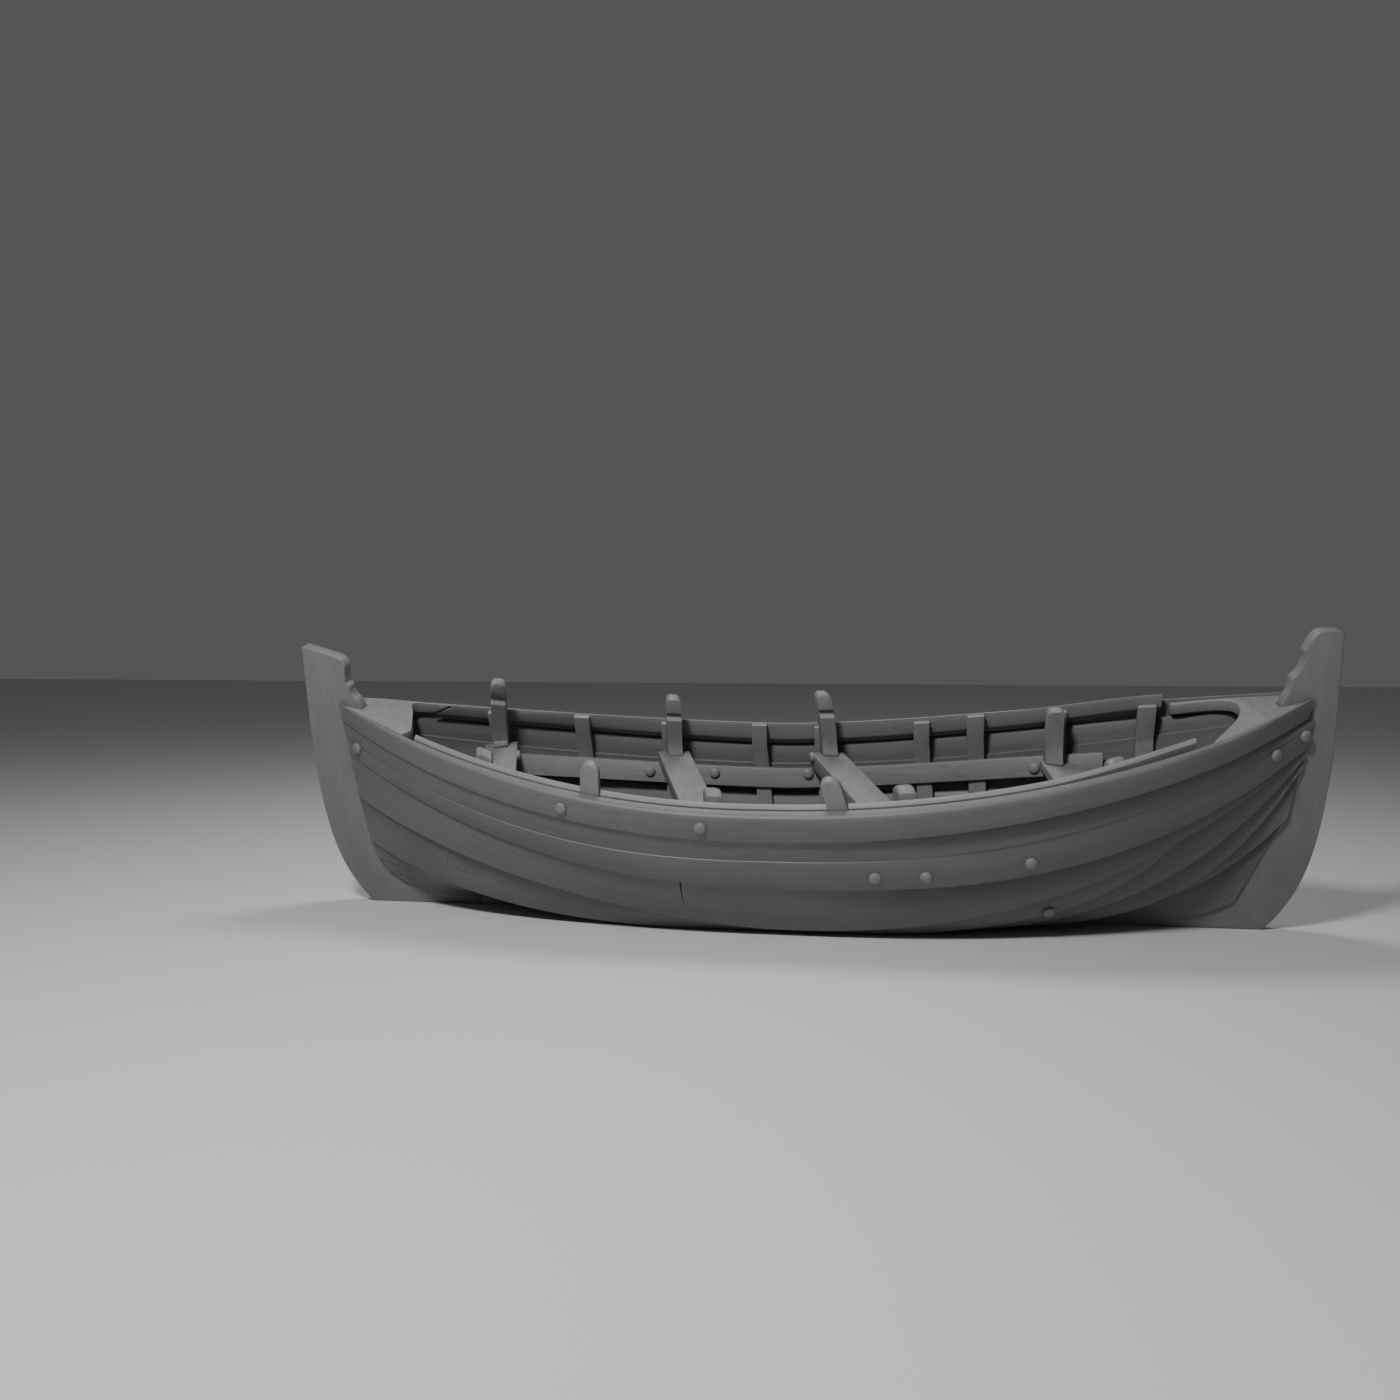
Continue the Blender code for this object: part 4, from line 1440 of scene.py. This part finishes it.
    def _thole(self, name: str, x: float, rake: float) -> bpy.types.Object:
        """One round-headed thole plate on top of the starboard inwale.

        Args:
            name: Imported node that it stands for.
            x: Middle of the plate.
            rake: How far its head leans forward.

        Returns:
            The plate.
        """
        half = self.thole_wide / 2.0
        outline = [(-half, 0.0), (half, 0.0)]
        for i in range(self.thole_steps + 1):
            angle = math.pi * i / self.thole_steps
            rise = self.thole_shoulder + math.sin(angle) * self.thole_crown
            outline.append((math.cos(angle) * half, rise))
        rings = []
        for depth in (self.thole_seat, self.thole_seat + self.thole_thick):
            ring = []
            for dx, dz in outline:
                place = x + dx + rake * dz / self.thole_high
                crest = at_x(self.wale_crest, place)
                base, foot = self._inner(place, 0.0), self._inner(place, 0.08)
                slope = (base.y - foot.y) / (base.z - foot.z)
                y = crest.y + slope * dz - depth
                seat = crest.z + self.inwale_rise * depth / self.inwale_thick
                ring.append(Vector((place, -y, seat - self.thole_sunk + dz)))
            rings.append(ring)
        piece = shaped_tube(f"{name}_head", rings)
        soften_edges(piece, self.thole_edge, 3, 50.0)
        self.shop.axes.lay(piece)
        return self.shop.finish_piece(piece, Slot.FITTINGS, GrainWay.UPRIGHT, [name])


@dataclass
class Interior:
    """Frames, risers, thwarts and knees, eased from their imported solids."""

    shop: Workshop
    frames: tuple[str, ...] = (
        *(f"rib_{number}" for number in range(1, 6)),
        *(f"thwart_frame_{number}" for number in range(1, 5)),
    )
    thwarts: tuple[str, ...] = tuple(f"thwart_{number}" for number in range(1, 5))
    frame_edge: float = 0.005
    thwart_edge: float = 0.006
    riser_edge: float = 0.004
    knee_edge: float = 0.008
    knee_drops: tuple[float, float] = (0.034, 0.016)
    knee_cuts: int = 11
    longest_whole: float = 0.06
    slid: tuple[str, float] = ("knee_4_port", -0.030)
    leaning: tuple[tuple[str, float], ...] = (("knee_1_port", 0.022), ("knee_3_port", -0.043))
    flat_crown: float = 0.25
    head_deep: float = 0.060

    def build(self) -> list[bpy.types.Object]:
        """Dress every piece inside the hull."""
        pieces = []
        for name in self.frames:
            pieces.append(self._eased(name, "timber", self.frame_edge, GrainWay.ATHWART))
        for name in self.thwarts:
            pieces.append(self._eased(name, "board", self.thwart_edge, GrainWay.ATHWART))
        for side in Side:
            riser = f"riser_{side.label}"
            pieces.append(self._eased(riser, "board", self.riser_edge, GrainWay.FORE_AND_AFT))
            for number in range(1, 5):
                pieces.append(self._knee(f"knee_{number}_{side.label}"))
        return pieces

    def _eased(self, node: str, ending: str, width: float, way: GrainWay) -> bpy.types.Object:
        """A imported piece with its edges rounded."""
        piece = self.shop.copy_of(node, f"{node}_{ending}")
        soften_edges(piece, width, 3)
        return self.shop.finish_piece(piece, Slot.FITTINGS, way, [node])

    def _knee(self, node: str) -> bpy.types.Object:
        """A standing knee with its head rounded over fore and aft."""
        piece = self.shop.copy_of(node, f"{node}_crook")
        if node == self.slid[0]:
            piece.data.transform(Matrix.Translation((self.slid[1], 0.0, 0.0)))
        self._slice_across(piece)
        self._round_head(piece, self.knee_drops[0 if "port" in node else 1])
        self._lean(piece, dict(self.leaning).get(node, 0.0))
        soften_edges(piece, self.knee_edge, 4, 44.0)
        return self.shop.finish_piece(piece, Slot.FITTINGS, GrainWay.UPRIGHT, [node])

    def _slice_across(self, piece: bpy.types.Object) -> None:
        """Cut every long edge that runs fore and aft into even steps."""

        def lengthwise(edge: bmesh.types.BMEdge) -> bool:
            step = edge.verts[0].co - edge.verts[1].co
            return abs(step.x) > max(self.longest_whole, 2.0 * abs(step.y), 2.0 * abs(step.z))

        pick_parts(piece, "EDGE", lengthwise)
        bpy.ops.mesh.subdivide(number_cuts=self.knee_cuts)
        bpy.ops.object.mode_set(mode="OBJECT")

    def _lean(self, piece: bpy.types.Object, reach: float) -> None:
        """Let a knee lean fore or aft, more and more towards its head."""
        to_boat = self.shop.axes.matrix.inverted()
        heights = [(to_boat @ vertex.co).z for vertex in piece.data.vertices]
        low, top = min(heights), max(heights)
        for vertex, height in zip(piece.data.vertices, heights):
            vertex.co.x += reach * ((height - low) / (top - low)) ** 2

    def _round_head(self, piece: bpy.types.Object, drop: float) -> None:
        """Let a knee's head fall away towards its fore and aft faces.

        Args:
            piece: The knee, sliced across.
            drop: How far the corners of the head fall.
        """
        mesh = piece.data
        ends = sorted(mesh.polygons, key=lambda face: face.area)[-2:]
        (first, first_out), (second, second_out) = (
            (face.center.copy(), face.normal.copy()) for face in ends
        )
        to_boat = self.shop.axes.matrix.inverted()
        top = max((to_boat @ vertex.co).z for vertex in mesh.vertices)
        up = self.shop.axes.matrix.to_3x3() @ Vector((0.0, 0.0, 1.0))
        for vertex in mesh.vertices:
            before = abs((vertex.co - first).dot(first_out))
            after = abs((vertex.co - second).dot(second_out))
            across = abs(2.0 * before / (before + after) - 1.0)
            outer = max(0.0, across - self.flat_crown) / (1.0 - self.flat_crown)
            height = (to_boat @ vertex.co).z
            share = smooth_step((height - top + self.head_deep) / self.head_deep)
            vertex.co -= up * drop * share * (1.0 - math.sqrt(max(0.0, 1.0 - outer * outer)))


@dataclass(frozen=True)
class Lamp:
    """One soft square light that faces a target."""

    name: str
    place: tuple[float, float, float]
    target: tuple[float, float, float]
    size: float
    power: float

    def hang(self) -> None:
        """Add the light."""
        deselect_everything()
        bpy.ops.object.light_add(type="AREA", location=self.place)
        lamp = bpy.context.object
        lamp.name = self.name
        lamp.data.shape = "SQUARE"
        lamp.data.size = self.size
        lamp.data.energy = self.power
        away = Vector(self.place) - Vector(self.target)
        lamp.rotation_euler = away.to_track_quat("Z", "Y").to_euler()


@dataclass
class Studio:
    """Floor, lights and the camera."""

    place: tuple[float, float, float] = (0.486, -6.5565, 1.52)
    pitch_deg: float = 86.88
    yaw_deg: float = 8.5
    lens: float = 32.43
    floor_side: float = 60.0
    floor_level: float = 0.62
    floor_roughness: float = 0.8
    surround_level: float = 0.8
    surround_strength: float = 0.12
    lamps: tuple[Lamp, ...] = (
        Lamp("key_light", (-1.8, -6.2, 7.0), (0.0, 0.0, 0.5), 1.3, 640.0),
        Lamp("top_light", (-0.6, 1.6, 6.6), (0.0, 0.0, 0.4), 2.4, 180.0),
    )

    def build(self) -> None:
        """Set the stage with a high light in front, a weaker one overhead and a dim surround."""
        self._floor()
        for lamp in self.lamps:
            lamp.hang()
        self._surround()
        self._camera()

    def _floor(self) -> None:
        """A plain pale floor."""
        deselect_everything()
        bpy.ops.mesh.primitive_plane_add(size=self.floor_side)
        floor = bpy.context.object
        floor.name = "studio_floor"
        material = bpy.data.materials.new("floor_paint")
        material.use_nodes = True
        shader = material.node_tree.nodes["Principled BSDF"]
        shader.inputs["Base Color"].default_value = grey(self.floor_level)
        shader.inputs["Roughness"].default_value = self.floor_roughness
        floor.data.materials.append(material)

    def _surround(self) -> None:
        """A dim even light from all round."""
        world = bpy.data.worlds.new("studio_surround")
        world.use_nodes = True
        background = world.node_tree.nodes["Background"]
        background.inputs["Color"].default_value = grey(self.surround_level)
        background.inputs["Strength"].default_value = self.surround_strength
        bpy.context.scene.world = world

    def _camera(self) -> None:
        """A camera at the photograph's viewing angle."""
        deselect_everything()
        bpy.ops.object.camera_add(location=self.place)
        camera = bpy.context.object
        camera.name = "studio_camera"
        camera.rotation_euler = (math.radians(self.pitch_deg), 0.0, math.radians(self.yaw_deg))
        camera.data.sensor_width = SENSOR_WIDTH
        camera.data.lens = self.lens
        bpy.context.scene.camera = camera

    def ray(self, px: float, py: float) -> tuple[Vector, Vector]:
        """Start and direction of the line of sight through a point of the photograph."""
        reach = SENSOR_WIDTH / self.lens / PHOTO_SIDE
        half = PHOTO_SIDE / 2.0
        aim = Vector(((px - half) * reach, (half - py) * reach, -1.0))
        turn = Matrix.Rotation(math.radians(self.yaw_deg), 3, "Z")
        tip = Matrix.Rotation(math.radians(self.pitch_deg), 3, "X")
        return Vector(self.place), (turn @ tip @ aim).normalized()


@dataclass
class SkinMarks:
    """A split and the outline of a let-in patch, cut into the planks along lines of sight."""

    studio: Studio
    split_wide: tuple[float, float] = (0.012, 0.003)
    split_deep: float = 0.030
    seam_wide: float = 0.0040
    seam_deep: float = 0.008
    stand_off: float = 0.010
    narrowed: float = 0.4
    split: tuple[tuple[float, float], ...] = (
        (680.6, 879.5),
        (680.4, 885),
        (681, 890),
        (682, 896),
        (684, 904),
    )
    patch: tuple[tuple[float, float], ...] = (
        (448.6, 851.5),
        (447, 860.7),
        (448.2, 864.4),
        (451.6, 866.8),
        (477, 874.6),
        (503.7, 882),
    )

    def build(self, skin: Sequence[bpy.types.Object]) -> int:
        """Cut both marks.

        Args:
            skin: The planks of the hull.

        Returns:
            How many marks were cut.
        """
        near = [piece for piece in skin if "starboard" in piece.name]
        start, end = self.split_wide
        marks = (
            ("split", self.split, start, end, self.split_deep),
            ("patch_seam", self.patch, self.seam_wide, self.seam_wide, self.seam_deep),
        )
        return sum(self._cut(near, *mark) for mark in marks)

    def _cut(
        self,
        near: Sequence[bpy.types.Object],
        name: str,
        path: Sequence[tuple[float, float]],
        start: float,
        end: float,
        deep: float,
    ) -> int:
        """Cut one groove whose width runs from start to end.

        Args:
            near: Planks on the near side.
            name: Name of the cutter.
            path: Points of the photograph that the groove passes through.
            start: Width at the first point.
            end: Width at the last point.
            deep: Depth of the groove.

        Returns:
            One if the groove was cut, nought if its points do not lie on one plank.
        """
        plank, _, _ = self._behind(near, path[-1])
        if plank is None:
            return 0
        spots = [self._behind([plank], point) for point in path]
        spots = [(place, normal) for found, place, normal in spots if found is not None]
        LOG.info("%s: %d points on %s", name, len(spots), plank.name)
        if len(spots) < 2:
            return 0
        rings = []
        for i, (place, normal) in enumerate(spots):
            before, after = spots[max(i - 1, 0)][0], spots[min(i + 1, len(spots) - 1)][0]
            across = (after - before).cross(normal).normalized()
            half = 0.5 * (start + (end - start) * i / (len(spots) - 1))
            top, low = place + normal * self.stand_off, place - normal * deep
            rings.append(
                [
                    top + across * half,
                    top - across * half,
                    low - across * half * self.narrowed,
                    low + across * half * self.narrowed,
                ]
            )
        cutter = shaped_tube(name, rings)
        modifier = plank.modifiers.new(name, "BOOLEAN")
        modifier.operation = "DIFFERENCE"
        modifier.solver = "EXACT"
        modifier.object = cutter
        apply_modifiers(plank)
        shade(plank)
        bpy.data.objects.remove(cutter, do_unlink=True)
        return 1

    def _behind(
        self, planks: Sequence[bpy.types.Object], point: tuple[float, float]
    ) -> tuple[bpy.types.Object | None, Vector, Vector]:
        """The first plank behind a point of the photograph, with its surface there."""
        best: tuple[bpy.types.Object | None, Vector, Vector] = (None, Vector(), Vector())
        nearest = math.inf
        for plank in planks:
            place, normal, _, distance = search_tree(plank).ray_cast(*self.studio.ray(*point))
            if place is not None and distance < nearest:
                nearest = distance
                best = (plank, place, normal)
        return best


@dataclass
class DomedHeads:
    """Round heads of the wooden fastenings, found along lines of sight."""

    shop: Workshop
    studio: Studio
    radius: float = 0.030
    rise: float = 0.018
    sides: int = 28
    edge: float = 0.0035
    sunk: float = 0.004
    crown: tuple[tuple[float, float], ...] = ((0.30, 0.32), (0.34, 0.16))
    outside: tuple[tuple[float, float], ...] = (
        (358, 748),
        (561, 808),
        (700, 828),
        (875, 878),
        (926, 877),
        (1031, 863),
        (1048, 911),
        (1276, 755),
        (1305, 736),
    )
    inside: tuple[tuple[float, float], ...] = (
        (517, 756),
        (650, 771),
        (714.7, 772.5),
        (808.3, 773.6),
        (812.9, 757.3),
        (1034, 768),
    )

    def build(self, skin: Sequence[bpy.types.Object], fittings: Sequence[bpy.types.Object]) -> int:
        """Place a head wherever a line of sight meets the hull.

        Args:
            skin: The planks of the hull.
            fittings: The pieces inside the hull.

        Returns:
            How many heads were placed.
        """
        pattern = self._pattern()
        near = [piece for piece in skin if "starboard" in piece.name]
        far_trees = [search_tree(piece) for piece in skin if "port" in piece.name]
        tally = 0
        for targets, points, mirrored in ((near, self.outside, True), (fittings, self.inside, False)):
            trees = [search_tree(piece) for piece in targets]
            for point in points:
                spot = self._meet(trees, *self.studio.ray(*point))
                if spot is None:
                    LOG.warning("no surface behind %s", point)
                    continue
                tally += 1
                self._set_head(pattern, tally, *spot)
                if mirrored:
                    twin = self._twin(far_trees, *spot)
                    if twin is not None:
                        tally += 1
                        self._set_head(pattern, tally, *twin)
        bpy.data.objects.remove(pattern, do_unlink=True)
        return tally

    @staticmethod
    def _meet(
        trees: Sequence[BVHTree], start: Vector, aim: Vector
    ) -> tuple[Vector, Vector] | None:
        """First point and normal that a ray meets."""
        best = None
        for tree in trees:
            place, normal, _, distance = tree.ray_cast(start, aim)
            if place is not None and (best is None or distance < best[0]):
                best = (distance, place, normal)
        return None if best is None else (best[1], best[2])

    def _twin(
        self, trees: Sequence[BVHTree], place: Vector, normal: Vector
    ) -> tuple[Vector, Vector] | None:
        """The same place on the other side of the boat."""
        to_boat = self.shop.axes.matrix.inverted()
        flip = Matrix.Diagonal((1.0, -1.0, 1.0, 1.0))
        across = self.shop.axes.matrix @ flip @ to_boat
        start = across @ (place + normal * 0.2)
        aim = (across @ place) - start
        return self._meet(trees, start, aim.normalized())

    def _pattern(self) -> bpy.types.Object:
        """One domed head on a thin collar, standing on Z = 0."""
        deselect_everything()
        bpy.ops.mesh.primitive_cylinder_add(
            vertices=self.sides,
            radius=self.radius,
            depth=self.rise,
            location=(0, 0, self.rise / 2),
        )
        piece = bpy.context.object
        bpy.ops.object.transform_apply(location=True, rotation=False, scale=False)
        pick_parts(piece, "FACE", lambda face: face.normal.z > 0.9)
        for inset, lift in self.crown:
            bpy.ops.mesh.inset(thickness=self.radius * inset)
            bpy.ops.transform.translate(value=(0.0, 0.0, self.rise * lift))
        bpy.ops.object.mode_set(mode="OBJECT")
        soften_edges(piece, self.edge, 3, 20.0)
        return piece

    def _set_head(
        self, pattern: bpy.types.Object, number: int, place: Vector, normal: Vector
    ) -> None:
        """Copy the head to a place, turned to the surface."""
        piece = bpy.data.objects.new(f"domed_head_{number:02d}", pattern.data.copy())
        bpy.context.scene.collection.objects.link(piece)
        turn = normal.to_track_quat("Z", "Y").to_matrix().to_4x4()
        sunk = place - normal * self.sunk
        piece.data.transform(Matrix.Translation(sunk) @ turn)
        self.shop.finish_piece(piece, Slot.FITTINGS, GrainWay.UPRIGHT)


def main() -> None:
    """Build the boat and its stage."""
    logging.basicConfig(level=logging.INFO, format="%(name)s: %(message)s")
    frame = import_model()
    nodes = frame["nodes"]
    shop = Workshop(nodes, BoatAxes(nodes["keel"]), HullLines(), Finishes(ShaderGroups()))
    planks = Planking(shop).build()
    parts = {"planking": planks}
    parts["backbone"] = Backbone(shop).build()
    parts["gunwales"] = Gunwales(shop).build()
    parts["interior"] = Interior(shop).build()
    for label, pieces in parts.items():
        for piece in pieces:
            LOG.info("%s: %s, %d faces", label, piece.name, len(piece.data.polygons))
    studio = Studio()
    studio.build()
    LOG.info("marks cut into the planks: %d", SkinMarks(studio).build(planks))
    heads = DomedHeads(shop, studio).build(planks, parts["interior"])
    LOG.info("domed heads placed: %d", heads)


if __name__ == "__main__":
    main()
